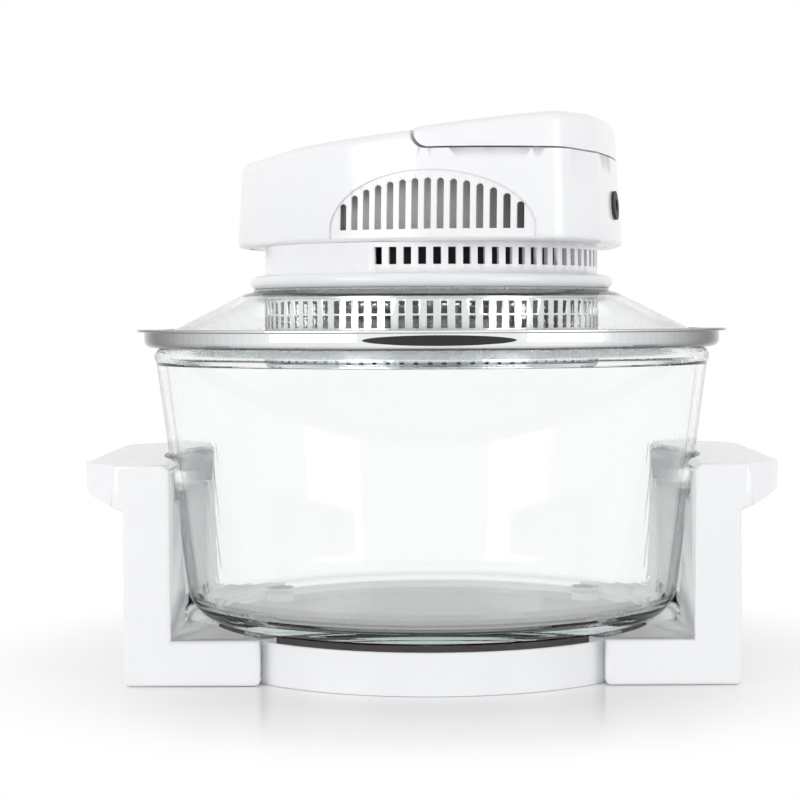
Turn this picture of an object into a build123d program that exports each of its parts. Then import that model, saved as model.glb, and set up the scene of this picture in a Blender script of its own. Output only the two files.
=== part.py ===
from build123d import *
import math
import os

# Halogen oven: a glass bowl in a moulded stand, under a lift-off lid that carries the motor head.
# Millimetres, Z up, the table at z = 0 and the bowl's axis on the Z axis, the grips along X.
# The head is turned about that axis. HEAD is its own frame: x runs from the user's end
# to the mains end, y goes across.

os.makedirs("parts", exist_ok=True)

# --- fits shared by all the pieces
SEAT_GAP = 0.3          # between curved faces that seat
RUNNING_FIT = 0.05      # radial, spindles in their bores
SCREW_FIT = 0.1         # radial, screws in their holes
SCREW_RADIUS = 1.7
SCREW_HEAD_RADIUS = 3.4
SCREW_HEAD_HEIGHT = 1.8

# --- stand
FOOT_PROUD = 1.4
FOOT_RADIUS = 8.0
FOOT_PLUG_RADIUS = 3.5
FOOT_PLUG_DEPTH = 5.0
STAND_WALL = 3.0
RING_RADIUS = 126.0
RING_WIDTH = 22.0
RING_TOP = 22.4
RING_ROUND = 1.2
SHELF_HEIGHT = 17.0     # inside the ring, carries the heat plate
BRACKET_START = 91.0    # inner end of the foot
BRACKET_OUTER = 163.0
UPRIGHT_THICKNESS = 25.0
BRACKET_DEPTH = 194.0
BRACKET_FOOT_TOP = 24.2
BRACKET_ROUND = 3.0
BRACKET_EDGE_ROUND = 2.5
GRIP_TOP = 117.0
GRIP_REACH = 27.0       # beyond the upright, at mid length
GRIP_BOW = 2.5          # less reach where the grip's round corners start
GRIP_CORNER_LENGTH = 36.0
GRIP_CORNER_DEPTH = 22.0
GRIP_CORNER_BULGE = 5.0
GRIP_UNDERSIDE = 92.0
GRIP_EDGE_HEIGHT = 13.0
GRIP_ROUND = 5.0
WINDOW_WIDTH = 160.0    # hollow of the grip, open to the bowl
WINDOW_HEIGHT = 19.0
LOW_WINDOW_WIDTH = 70.0
LOW_WINDOW_HEIGHT = 9.0
TAB_WIDTH = 48.0
TAB_REACH = 18.0
TAB_THICKNESS = 3.0
TAB_SCREW_SPREAD = 30.0
REST_RADIUS = 9.0
REST_BOSS_RADIUS = 8.5
REST_CIRCLE = 115.0
REST_ANGLE = 36.0
REST_PEG_RADIUS = 3.0
PLATE_THICKNESS = 1.2
PLATE_DISH = 2.0
PLATE_NOTCH_RADIUS = 9.2

# --- bowl
BOWL_BASE = 25.5
BOWL_HEIGHT = 152.0
BOWL_BASE_RADIUS = 137.2
BOWL_TAPER = 8.03       # degrees from upright
BOWL_WALL = 5.0
BOWL_FLOOR = 7.0
BOWL_CORNER = 16.0
BEAD_RADIUS = 4.7       # of the rim, which thickens inwards
BOWL_CLEARANCE = 2.5    # bowl to the uprights

# --- lid
SEAL_THICKNESS = 1.2
SEAL_LIP_DEPTH = 6.0
SEAL_LIP_WIDTH = 3.0
SEAL_STEP = 1.0         # seal's edge to the band around it
BAND_PLATE = 1.7
BAND_LIP = 3.3
BAND_OVERHANG = 5.6     # band's side beyond the bowl's rim
BAND_WALL = 2.6         # band's side around the lid glass
BAND_ROUND = 4.2
BAND_FLANGE = 4.1       # beyond the band's side
BAND_FLANGE_SHEET = 1.4
LID_GLASS_THICKNESS = 4.0
LID_GLASS_RIM = 8.0
LID_SEAT_RADIUS = 104.0
LID_HOLE_RADIUS = 90.0
LID_RISE = 24.7
GASKET_THICKNESS = 1.0

# --- neck and hot chamber
NECK_RADIUS = 95.0
NECK_WALL = 3.0
FLANGE_RADIUS = 103.5
FLANGE_HEIGHT = 7.6
NECK_HEIGHT = 23.9      # flange underside to the head
WEB = 2.6
LOWER_WEB_INNER_RADIUS = 74.0
UPPER_WEB_INNER_RADIUS = 84.0
SPIGOT_WALL = 3.0
SPIGOT_DEPTH = 4.7
NECK_SLOT_WIDTH = 4.2
NECK_SLOT_FOOT = 4.5    # above the flange
NECK_SLOT_COUNT = 40
NECK_SLOT_RANGE = 186.6
CLAMP_THICKNESS = 2.0
CLAMP_OUTER_RADIUS = 100.0
CLAMP_INNER_RADIUS = 70.0
CLAMP_SCREW_CIRCLE = 82.0
CLAMP_SCREW_COUNT = 6
GUARD_RADIUS = 95.5
GUARD_SHEET = 0.8
GUARD_DEPTH = 33.4
GUARD_FLANGE = 7.5
GUARD_LIP = 4.7
GUARD_SLOT_COUNT = 80
GUARD_SLOT_WIDTH = 3.4
GUARD_SLOT_HEIGHT = 6.8
GUARD_ROW_DEPTHS = (4.7, 12.5)
GUARD_DOT_SIZE = 2.4
GUARD_DOT_DEPTH = 29.5
GRILLE_SLOT_WIDTH = 3.6
GRILLE_RINGS = ((18, 26.0, 52.0), (30, 60.0, 84.0))
REFLECTOR_RADIUS = 76.0
REFLECTOR_SHEET = 0.8
LAMP_RING_RADIUS = 61.0
LAMP_TUBE_RADIUS = 4.5
LAMP_DROP = 17.4        # tube centre below the reflector
LAMP_GAP_ANGLE = 36.0
LAMP_LEG_GRIP = 5.0
HOLDER_SIZE = 14.0
BAFFLE_RADIUS = 88.0
BAFFLE_SHEET = 0.8

# --- motor and fans
SHAFT_RADIUS = 3.0
SHAFT_BELOW_REFLECTOR = 22.0
SHAFT_LENGTH = 83.0
MOTOR_BRACKET_LENGTH = 168.0
MOTOR_BRACKET_WIDTH = 48.0
MOTOR_BRACKET_SHEET = 2.0
STRAP_HEIGHT = 5.2
STRAP_WIDTH = 16.0
STATOR_SIZE = 58.0
STATOR_STACK = 20.0
STATOR_LIMB = 18.0
STATOR_LIMB_WIDTH = 14.0
STATOR_YOKE = 6.0
ROTOR_RADIUS = 15.9
ROTOR_GAP = 0.6
COIL_WIDTH = 34.0
COIL_HEIGHT = 30.0
COIL_FIT = 0.3
OVEN_FAN_RADIUS = 50.0
OVEN_FAN_HEIGHT = 11.0
OVEN_FAN_BLADES = 12
OVEN_FAN_DROP = 5.4
COOLING_FAN_RADIUS = 38.0
COOLING_FAN_HEIGHT = 12.0
COOLING_FAN_BLADES = 7
COOLING_BLADE_CHORD = 14.0
COOLING_BLADE_PITCH = 35.0
COOLING_FAN_RISE = 5.0
FAN_SHEET = 1.2
FAN_HUB_RADIUS = 8.0

# --- head
HEAD_TURN = -14.0       # degrees about Z
HEAD_FRONT = 116.0
HEAD_BACK = 107.0
HEAD_HALF_WIDTH = 98.0
HEAD_HEIGHT = 49.2      # its base to the deck under the handle
HEAD_DRAFT = 3.4
HEAD_WALL = 3.0
HEAD_LIP = 6.0          # inward lip at the base
HEAD_CORNER = 20.0
HEAD_BASE_ROUND = 3.5
HEAD_TOP_ROUND = 6.0
TOP_AT_FRONT = -0.9     # the sloping top, above the deck at the front end
TOP_AT_PIVOT = 11.1
CROWN_BACK = 66.0       # end of the raised middle, where the finger well starts
FLOOR_HOLE_RADIUS = 70.0
NECK_SCREW_CIRCLE = 87.0
NECK_SCREW_ANGLE = 18.0
NECK_SCREW_GRIP = 7.0
VENT_CENTRE = 21.7
VENT_COUNT = 15
VENT_PITCH = 6.86
VENT_WIDTH = 3.8
VENT_FOOT = 6.7         # above the head's base
VENT_RISE = 27.0
VENT_MARGIN = 4.4
VENT_RECESS = 1.2
VENT_CUT_START = 76.0   # from the head's middle, clear of the posts
POST_RADIUS = 5.0
POSTS = ((-58.0, 52.0), (80.0, 62.0))
POST_SCREW_LENGTH = 30.0
GLAND_RADIUS = 6.7
GLAND_FLANGE = 1.4
GLAND_BORE_RADIUS = 3.6
GLAND_HEIGHT = 22.5     # above the head's base

# --- lift handle
HANDLE_WIDTH = 20.0
HANDLE_GAP = 0.9        # to the deck and to the raised middle
HANDLE_END_RADIUS = 8.0
HANDLE_END_GAP = 2.2    # in front of its rounded ends
PIVOT_X = 22.0
HANDLE_AT_PIVOT = 12.7  # its top, above the deck
HANDLE_AT_BACK = 23.1
HANDLE_TOP_ROUND = 6.0
PIN_RADIUS = 1.75
PIN_IN_HANDLE = 12.0
PIN_IN_CROWN = 8.0
PIN_BOSS_RADIUS = 4.5
SWITCH_SIZE = (12.0, 20.0, 9.0)
SWITCH_PLACE = (92.0, 25.0)
PLUNGER_RADIUS = 2.0
PLUNGER_IN_SWITCH = 4.0
PLUNGER_TRAVEL = 1.5

# --- controls
PANEL_CENTRE = -62.0
PANEL_LENGTH = 50.0     # front to back
PANEL_WIDTH = 66.0
PANEL_WALL = 2.0
PANEL_THICKNESS = 1.6
PANEL_RECESS = 1.0      # its face below the lip around it
PANEL_CORNER = 8.0
PANEL_LEDGE = 5.0
LEDGE_DEPTH = 3.0
STANDOFF_RADIUS = 3.2
STANDOFF_HEIGHT = 4.0
BOARD_THICKNESS = 1.6
BOARD_MARGIN = 1.0
KEY_RADIUS = 4.6
KEY_PROUD = 0.6
KEY_FLANGE_RADIUS = 6.0
KEY_FLANGE = 1.0
KEY_PLAY = 0.2
KEY_STEM_RADIUS = 2.0
KEY_TRAVEL = 0.8
KEY_ROWS = (-13.0, 1.0)
KEY_SPREAD = 20.0
KEY_NAMES = ("power_key", "heat_down_key", "time_down_key", "start_key", "heat_up_key", "time_up_key")
SWITCH_BODY = 6.0
DISPLAY_PLACE = 14.0
DISPLAY_SIZE = (10.0, 38.0)
DISPLAY_BEZEL = 2.0

# --- heights and radii that follow from the sizes above
ring_inner = RING_RADIUS - RING_WIDTH
rim_inner = RING_RADIUS - STAND_WALL
shelf_bottom = SHELF_HEIGHT - STAND_WALL
bracket_arc = RING_RADIUS + SEAT_GAP
upright_inner = BRACKET_OUTER - UPRIGHT_THICKNESS
grip_outer = BRACKET_OUTER + GRIP_REACH
half_depth = BRACKET_DEPTH / 2
bowl_slope = math.tan(math.radians(BOWL_TAPER))
bowl_rim = BOWL_BASE + BOWL_HEIGHT
bead_height = bowl_rim - BEAD_RADIUS
rim_radius = BOWL_BASE_RADIUS + (bead_height - BOWL_BASE) * bowl_slope
bead_centre = rim_radius - BEAD_RADIUS
seal_base = bowl_rim + SEAT_GAP
band_base = seal_base + SEAL_THICKNESS
glass_base = band_base + BAND_PLATE
glass_rim_top = glass_base + LID_GLASS_THICKNESS
band_top = glass_rim_top + BAND_LIP
band_side_radius = rim_radius + BAND_OVERHANG
lid_glass_radius = band_side_radius - BAND_WALL
glass_seat = glass_rim_top + LID_RISE
neck_base = glass_seat + GASKET_THICKNESS
web_top = neck_base + WEB
head_base = neck_base + NECK_HEIGHT
clamp_top = glass_seat - LID_GLASS_THICKNESS
clamp_base = clamp_top - CLAMP_THICKNESS
guard_base = clamp_base - GUARD_DEPTH
reflector_top = clamp_top + REFLECTOR_SHEET
lamp_height = clamp_top - LAMP_DROP
baffle_top = web_top + BAFFLE_SHEET
motor_seat = baffle_top + MOTOR_BRACKET_SHEET
stator_base = motor_seat + STRAP_HEIGHT
stator_top = stator_base + STATOR_STACK
motor_top = stator_top + STRAP_HEIGHT
shaft_base = clamp_top - SHAFT_BELOW_REFLECTOR
oven_fan_base = clamp_top - OVEN_FAN_DROP - OVEN_FAN_HEIGHT
cooling_fan_base = motor_top + COOLING_FAN_RISE
deck = head_base + HEAD_HEIGHT
floor_top = head_base + HEAD_WALL
draft_slope = math.tan(math.radians(HEAD_DRAFT))
deck_inset = HEAD_HEIGHT * draft_slope
handle_inner_inset = deck_inset + HANDLE_WIDTH
crown_inset = handle_inner_inset + HANDLE_GAP
neck_screw_starts = (-NECK_SCREW_ANGLE, 180 - NECK_SCREW_ANGLE)
forwards = (Align.MAX, Align.CENTER)
pivot_z = deck + HANDLE_GAP + HANDLE_END_RADIUS
channel_front = PIVOT_X - HANDLE_END_RADIUS - HANDLE_END_GAP
top_slope = (TOP_AT_PIVOT - TOP_AT_FRONT) / (PIVOT_X + HEAD_FRONT)
handle_slope = (HANDLE_AT_BACK - HANDLE_AT_PIVOT) / (HEAD_BACK - PIVOT_X)
panel_height = deck + TOP_AT_FRONT + (PANEL_CENTRE + HEAD_FRONT) * top_slope

HEAD = Plane.XY.rotated((0, 0, HEAD_TURN))
HEAD_SIDE = Plane(origin=(0, 0, 0), x_dir=HEAD.x_dir, z_dir=-HEAD.y_dir)
PANEL = Plane(
    origin=HEAD.from_local_coords(Vector(PANEL_CENTRE, 0, panel_height)),
    x_dir=HEAD.x_dir + HEAD.z_dir * top_slope,
    z_dir=HEAD.z_dir - HEAD.x_dir * top_slope,
)


def bowl_radius(height):
    """Outer radius of the bowl's tapered wall at a height."""
    return BOWL_BASE_RADIUS + (height - BOWL_BASE) * bowl_slope


def save(piece, name):
    """Label a finished piece and write its STEP file."""
    piece.label = name
    export_step(piece, f"parts/{name}.step")


def head_outline(inset):
    """Plan of the head, as far inside its base outline as the inset says."""
    front, back, half = HEAD_FRONT, HEAD_BACK, HEAD_HALF_WIDTH
    front_corner = (-front + 4, 24)
    front_side = (-front + 52, half - 25)
    back_side = (back - 13, half - 22)
    back_corner = (back - 2, 36)
    with BuildSketch() as plan:
        with BuildLine() as edge:
            ThreePointArc(front_corner, (-front, 0), (front_corner[0], -front_corner[1]))
            Line((front_corner[0], -front_corner[1]), (front_side[0], -front_side[1]))
            ThreePointArc((front_side[0], -front_side[1]), (20, -half), (back_side[0], -back_side[1]))
            Line((back_side[0], -back_side[1]), (back_corner[0], -back_corner[1]))
            ThreePointArc((back_corner[0], -back_corner[1]), (back, 0), back_corner)
            Line(back_corner, back_side)
            ThreePointArc(back_side, (20, half), front_side)
            Line(front_side, front_corner)
        make_face()
        if inset > 0:
            offset(amount=-inset, kind=Kind.INTERSECTION)
        fillet(plan.vertices(), max(HEAD_CORNER - inset, 4))
    return plan.sketch


def area_under(height, slope):
    """Area under a sloping line of that height above the deck at the handle's pivot, for HEAD_SIDE."""
    front, back = -2 * HEAD_FRONT, 2 * HEAD_BACK
    with BuildSketch() as area:
        with BuildLine():
            front_top = deck + height + (front - PIVOT_X) * slope
            back_top = deck + height + (back - PIVOT_X) * slope
            Polyline((front, 0), (back, 0), (back, back_top), (front, front_top), close=True)
        make_face()
    return area.sketch


# ---------------------------------------------------------------- stand
rest_angles = (REST_ANGLE, 180 - REST_ANGLE, 180 + REST_ANGLE, -REST_ANGLE)
rest_points = [Vector(REST_CIRCLE, 0, 0).rotate(Axis.Z, angle) for angle in rest_angles]
tab_middle = RING_RADIUS - TAB_REACH / 2
tab_sides = (-TAB_SCREW_SPREAD / 2, TAB_SCREW_SPREAD / 2)
tab_points = [(side * tab_middle, y) for side in (-1, 1) for y in tab_sides]
foot_points = [(x, y) for x in (-1, 1) for y in (-1, 1)]
foot_x = BRACKET_OUTER - STAND_WALL - FOOT_RADIUS
foot_y = half_depth - STAND_WALL - FOOT_RADIUS

with BuildPart() as base_ring:
    with BuildSketch(Plane.XZ) as channel:
        with BuildLine():
            Polyline(
                (RING_RADIUS, FOOT_PROUD),
                (RING_RADIUS, RING_TOP),
                (rim_inner, RING_TOP),
                (rim_inner, SHELF_HEIGHT),
                (ring_inner, SHELF_HEIGHT),
                (ring_inner, FOOT_PROUD),
                (ring_inner + STAND_WALL, FOOT_PROUD),
                (ring_inner + STAND_WALL, shelf_bottom),
                (rim_inner, shelf_bottom),
                (rim_inner, FOOT_PROUD),
                close=True,
            )
        make_face()
        top_corners = channel.vertices().group_by(Axis.Y)[-1]
        fillet(top_corners, RING_ROUND)
    revolve(axis=Axis.Z)
    for x, y in tab_points:
        with BuildSketch(Plane.XY.offset(FOOT_PROUD + TAB_THICKNESS)):
            with Locations((x, y)):
                Circle(SCREW_HEAD_RADIUS + 1.5)
        extrude(amount=shelf_bottom - FOOT_PROUD - TAB_THICKNESS)
    with BuildSketch(Plane.XY.offset(SHELF_HEIGHT)):
        with Locations(*rest_points):
            Circle(REST_BOSS_RADIUS)
    extrude(amount=RING_TOP - SHELF_HEIGHT)
    for side in (-1, 1):
        with Locations((side * (RING_RADIUS - STAND_WALL / 2), 0, FOOT_PROUD + TAB_THICKNESS / 2)):
            Box(3 * STAND_WALL, TAB_WIDTH + 1, TAB_THICKNESS + 2 * SEAT_GAP, mode=Mode.SUBTRACT)
    with BuildSketch(Plane.XY.offset(FOOT_PROUD)):
        with Locations(*tab_points):
            Circle(SCREW_RADIUS + SCREW_FIT)
    extrude(amount=shelf_bottom - FOOT_PROUD + STAND_WALL / 2, mode=Mode.SUBTRACT)
    with BuildSketch(Plane.XY.offset(RING_TOP)):
        with Locations(*rest_points):
            Circle(REST_PEG_RADIUS + SCREW_FIT)
    extrude(amount=-STAND_WALL, mode=Mode.SUBTRACT)
save(base_ring.part, "base_ring")

with BuildPart() as bowl_space:
    with BuildSketch(Plane.XZ):
        with BuildLine():
            top = 2 * GRIP_TOP
            low = bowl_radius(BRACKET_FOOT_TOP) + BOWL_CLEARANCE
            high = bowl_radius(top) + BOWL_CLEARANCE
            Polyline((0, BRACKET_FOOT_TOP), (low, BRACKET_FOOT_TOP), (high, top), (0, top), close=True)
        make_face()
    revolve(axis=Axis.Z)

with BuildPart() as bowl_space_and_wall:
    with BuildSketch(Plane.XZ):
        with BuildLine():
            low += STAND_WALL
            high += STAND_WALL
            base = BRACKET_FOOT_TOP - STAND_WALL
            Polyline((0, base), (low, base), (high, 2 * GRIP_TOP), (0, 2 * GRIP_TOP), close=True)
        make_face()
    revolve(axis=Axis.Z)

with BuildPart() as bracket_hollow:
    with BuildSketch(Plane.XY.offset(FOOT_PROUD)) as foot_core:
        with Locations(((BRACKET_START + BRACKET_OUTER) / 2, 0)):
            Rectangle(BRACKET_OUTER - BRACKET_START - 2 * STAND_WALL, BRACKET_DEPTH - 2 * STAND_WALL)
        Circle(bracket_arc + STAND_WALL, mode=Mode.SUBTRACT)
    extrude(amount=BRACKET_FOOT_TOP - STAND_WALL - FOOT_PROUD)
    with BuildSketch(Plane.XY.offset(BRACKET_FOOT_TOP - STAND_WALL)):
        with Locations(((upright_inner + BRACKET_OUTER) / 2, 0)):
            Rectangle(UPRIGHT_THICKNESS - 2 * STAND_WALL, BRACKET_DEPTH - 2 * STAND_WALL)
    extrude(amount=GRIP_TOP - WINDOW_HEIGHT - 2 * STAND_WALL - BRACKET_FOOT_TOP + STAND_WALL)
    add(bowl_space_and_wall.part, mode=Mode.SUBTRACT)
    with Locations((foot_x, foot_y, 0), (foot_x, -foot_y, 0)):
        Cylinder(FOOT_RADIUS + 1, 2 * BRACKET_FOOT_TOP, mode=Mode.SUBTRACT)

with BuildPart() as side_bracket:
    with BuildSketch(Plane.XZ.offset(-half_depth)) as front_view:
        with BuildLine():
            Polyline(
                (BRACKET_START, FOOT_PROUD),
                (BRACKET_OUTER, FOOT_PROUD),
                (BRACKET_OUTER, GRIP_UNDERSIDE),
                (grip_outer, GRIP_TOP - GRIP_EDGE_HEIGHT),
                (grip_outer, GRIP_TOP),
                (upright_inner, GRIP_TOP),
                (upright_inner, BRACKET_FOOT_TOP),
                (BRACKET_START, BRACKET_FOOT_TOP),
                close=True,
            )
        make_face()
        base_corners = front_view.vertices().group_by(Axis.Y)[0]
        fillet(base_corners, BRACKET_ROUND)
        grip_corners = front_view.vertices().filter_by(lambda v: v.Y > GRIP_UNDERSIDE + 1)
        fillet(grip_corners, GRIP_ROUND)
    extrude(amount=BRACKET_DEPTH)
    with BuildSketch() as plan_view:
        with BuildLine():
            corner_x = grip_outer - GRIP_BOW
            corner_y = half_depth - GRIP_CORNER_LENGTH
            end_x = corner_x - GRIP_CORNER_DEPTH
            middle_x = (corner_x + end_x) / 2 + GRIP_CORNER_BULGE
            middle_y = (corner_y + half_depth) / 2 + GRIP_CORNER_BULGE / 2
            ThreePointArc((corner_x, -corner_y), (grip_outer, 0), (corner_x, corner_y))
            ThreePointArc((corner_x, corner_y), (middle_x, middle_y), (end_x, half_depth))
            Line((end_x, half_depth), (BRACKET_START, half_depth))
            Line((BRACKET_START, half_depth), (BRACKET_START, -half_depth))
            Line((BRACKET_START, -half_depth), (end_x, -half_depth))
            ThreePointArc((end_x, -half_depth), (middle_x, -middle_y), (corner_x, -corner_y))
        make_face()
    extrude(amount=2 * GRIP_TOP, mode=Mode.INTERSECT)
    end_faces = side_bracket.faces().filter_by(Axis.Y)
    fillet(end_faces.edges(), BRACKET_EDGE_ROUND)
    with BuildSketch(Plane.XY):
        Circle(bracket_arc)
    extrude(amount=BRACKET_FOOT_TOP + 1, mode=Mode.SUBTRACT)
    add(bracket_hollow.part, mode=Mode.SUBTRACT)
    with BuildSketch(Plane.XY.offset(GRIP_TOP - STAND_WALL - WINDOW_HEIGHT)):
        with Locations(((upright_inner + grip_outer - GRIP_ROUND) / 2 - STAND_WALL, 0)):
            Rectangle(UPRIGHT_THICKNESS + GRIP_REACH - GRIP_ROUND - STAND_WALL, WINDOW_WIDTH)
    extrude(amount=WINDOW_HEIGHT, mode=Mode.SUBTRACT)
    with Locations((upright_inner, 0, BRACKET_FOOT_TOP + STAND_WALL + LOW_WINDOW_HEIGHT / 2)):
        Box(3 * STAND_WALL, LOW_WINDOW_WIDTH, LOW_WINDOW_HEIGHT, mode=Mode.SUBTRACT)
    add(bowl_space.part, mode=Mode.SUBTRACT)
    with BuildSketch(Plane.XY.offset(FOOT_PROUD)):
        with Locations((RING_RADIUS - TAB_REACH / 2 + STAND_WALL, 0)):
            Rectangle(TAB_REACH + 2 * STAND_WALL, TAB_WIDTH)
    extrude(amount=TAB_THICKNESS)
    right_tab_points = [(x, y) for x, y in tab_points if x > 0]
    with BuildSketch(Plane.XY.offset(FOOT_PROUD)):
        with Locations(*right_tab_points):
            Circle(SCREW_HEAD_RADIUS + 2 * SCREW_FIT)
    extrude(amount=SCREW_HEAD_HEIGHT, mode=Mode.SUBTRACT)
    with BuildSketch(Plane.XY.offset(FOOT_PROUD)):
        with Locations(*right_tab_points):
            Circle(SCREW_RADIUS + SCREW_FIT)
        with Locations((foot_x, foot_y), (foot_x, -foot_y)):
            Circle(FOOT_PLUG_RADIUS)
    extrude(amount=FOOT_PLUG_DEPTH, mode=Mode.SUBTRACT)
save(side_bracket.part, "side_bracket_right")

with BuildPart() as side_bracket_left:
    mirror(side_bracket.part, about=Plane.YZ)
save(side_bracket_left.part, "side_bracket_left")

with BuildPart() as stand_screws:
    with BuildSketch(Plane.XY.offset(FOOT_PROUD + SCREW_FIT)):
        with Locations(*tab_points):
            Circle(SCREW_HEAD_RADIUS)
    extrude(amount=SCREW_HEAD_HEIGHT - SCREW_FIT)
    with BuildSketch(Plane.XY.offset(FOOT_PROUD + SCREW_HEAD_HEIGHT)):
        with Locations(*tab_points):
            Circle(SCREW_RADIUS)
    extrude(amount=shelf_bottom - FOOT_PROUD - SCREW_HEAD_HEIGHT)
save(stand_screws.part, "stand_screws")

with BuildPart() as stand_feet:
    with BuildSketch():
        with Locations(*[(x * foot_x, y * foot_y) for x, y in foot_points]):
            Circle(FOOT_RADIUS)
    extrude(amount=FOOT_PROUD)
    with BuildSketch(Plane.XY.offset(FOOT_PROUD)):
        with Locations(*[(x * foot_x, y * foot_y) for x, y in foot_points]):
            Circle(FOOT_PLUG_RADIUS - RUNNING_FIT)
    extrude(amount=FOOT_PLUG_DEPTH - SCREW_FIT)
save(stand_feet.part, "stand_feet")

with BuildPart() as bowl_rests:
    with BuildSketch(Plane.XY.offset(RING_TOP)):
        with Locations(*rest_points):
            Circle(REST_RADIUS)
    extrude(amount=BOWL_BASE - RING_TOP)
    with BuildSketch(Plane.XY.offset(RING_TOP)):
        with Locations(*rest_points):
            Circle(REST_PEG_RADIUS)
    extrude(amount=-STAND_WALL)
save(bowl_rests.part, "bowl_rests")

with BuildPart() as heat_plate:
    with BuildSketch(Plane.XZ):
        with BuildLine():
            plate_rim = rim_inner - SEAT_GAP
            bend = ring_inner - PLATE_DISH
            low = SHELF_HEIGHT - PLATE_DISH
            Polyline(
                (0, low),
                (bend - PLATE_DISH, low),
                (bend, SHELF_HEIGHT),
                (plate_rim, SHELF_HEIGHT),
                (plate_rim, SHELF_HEIGHT + PLATE_THICKNESS),
                (bend, SHELF_HEIGHT + PLATE_THICKNESS),
                (bend - PLATE_DISH, low + PLATE_THICKNESS),
                (0, low + PLATE_THICKNESS),
                close=True,
            )
        make_face()
    revolve(axis=Axis.Z)
    with BuildSketch(Plane.XY.offset(SHELF_HEIGHT)):
        with Locations(*rest_points):
            Circle(PLATE_NOTCH_RADIUS)
    extrude(amount=PLATE_THICKNESS, mode=Mode.SUBTRACT)
save(heat_plate.part, "heat_plate")

# ---------------------------------------------------------------- bowl
with BuildPart() as glass_bowl:
    with BuildSketch(Plane.XZ) as bowl_section:
        with BuildLine():
            Polyline(
                (0, BOWL_BASE),
                (BOWL_BASE_RADIUS, BOWL_BASE),
                (bowl_radius(bead_height), bead_height),
                (bowl_radius(bead_height) - BOWL_WALL, bead_height),
                (bowl_radius(BOWL_BASE + BOWL_FLOOR) - BOWL_WALL, BOWL_BASE + BOWL_FLOOR),
                (0, BOWL_BASE + BOWL_FLOOR),
                close=True,
            )
        make_face()
        outer_corner = bowl_section.vertices().group_by(Axis.Y)[0].sort_by(Axis.X)[-1]
        fillet(outer_corner, BOWL_CORNER)
        floor_height = BOWL_BASE + BOWL_FLOOR
        inner_corner = bowl_section.vertices().filter_by(lambda v: v.X > 1 and abs(v.Y - floor_height) < 0.01)
        fillet(inner_corner, BOWL_CORNER - BOWL_WALL)
        with Locations((bead_centre, bead_height)):
            Circle(BEAD_RADIUS)
    revolve(axis=Axis.Z)
save(glass_bowl.part, "glass_bowl")

# ---------------------------------------------------------------- lid
with BuildPart() as lid_seal:
    with BuildSketch(Plane.XZ):
        with BuildLine():
            lip_outer = bead_centre - BEAD_RADIUS - 2 * SEAT_GAP
            seal_outer = rim_radius
            Polyline(
                (lip_outer - SEAL_LIP_WIDTH, band_base),
                (lip_outer - SEAL_LIP_WIDTH, band_base - SEAL_LIP_DEPTH),
                (lip_outer, band_base - SEAL_LIP_DEPTH),
                (lip_outer, seal_base),
                (seal_outer, seal_base),
                (seal_outer, band_base),
                close=True,
            )
        make_face()
    revolve(axis=Axis.Z)
save(lid_seal.part, "lid_seal")

with BuildPart() as lid_rim_band:
    with BuildSketch(Plane.XZ) as band_section:
        with BuildLine():
            groove = lid_glass_radius + SEAT_GAP
            lip_inner = lid_glass_radius - LID_GLASS_RIM + 1
            Polyline(
                (lip_outer, glass_base),
                (lip_outer, band_base),
                (seal_outer + SEAL_STEP, band_base),
                (seal_outer + SEAL_STEP, seal_base),
                (band_side_radius, seal_base),
                (band_side_radius, band_top - BAND_FLANGE_SHEET),
                (band_side_radius + BAND_FLANGE, band_top - BAND_FLANGE_SHEET),
                (band_side_radius + BAND_FLANGE, band_top - 1),
                (band_side_radius + BAND_FLANGE - 1, band_top),
                (lip_inner + 1, band_top),
                (lip_inner, band_top - 1),
                (lip_inner, glass_rim_top),
                (groove, glass_rim_top),
                (groove, glass_base),
                close=True,
            )
        make_face()
        side_foot = band_section.vertices().group_by(Axis.Y)[0].sort_by(Axis.X)[-1]
        fillet(side_foot, BAND_ROUND)
    revolve(axis=Axis.Z)
save(lid_rim_band.part, "lid_rim_band")

with BuildPart() as lid_glass:
    with BuildSketch(Plane.XZ) as dome_section:
        with BuildLine():
            cone_foot = lid_glass_radius - LID_GLASS_RIM
            Polyline(
                (LID_HOLE_RADIUS, glass_seat),
                (LID_SEAT_RADIUS, glass_seat),
                (cone_foot, glass_rim_top),
                (lid_glass_radius, glass_rim_top),
                (lid_glass_radius, glass_base),
                (cone_foot, glass_base),
                (LID_SEAT_RADIUS, clamp_top),
                (LID_HOLE_RADIUS, clamp_top),
                close=True,
            )
        make_face()
        bends = dome_section.vertices().filter_by(lambda v: abs(v.X - LID_SEAT_RADIUS) < 0.01)
        fillet(bends, LID_GLASS_THICKNESS)
    revolve(axis=Axis.Z)
save(lid_glass.part, "lid_glass")

with BuildPart() as neck_gasket:
    with BuildSketch(Plane.XY.offset(glass_seat)):
        Circle(FLANGE_RADIUS - 2)
        Circle(LID_HOLE_RADIUS + SEAT_GAP, mode=Mode.SUBTRACT)
    extrude(amount=GASKET_THICKNESS)
save(neck_gasket.part, "neck_gasket")

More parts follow.
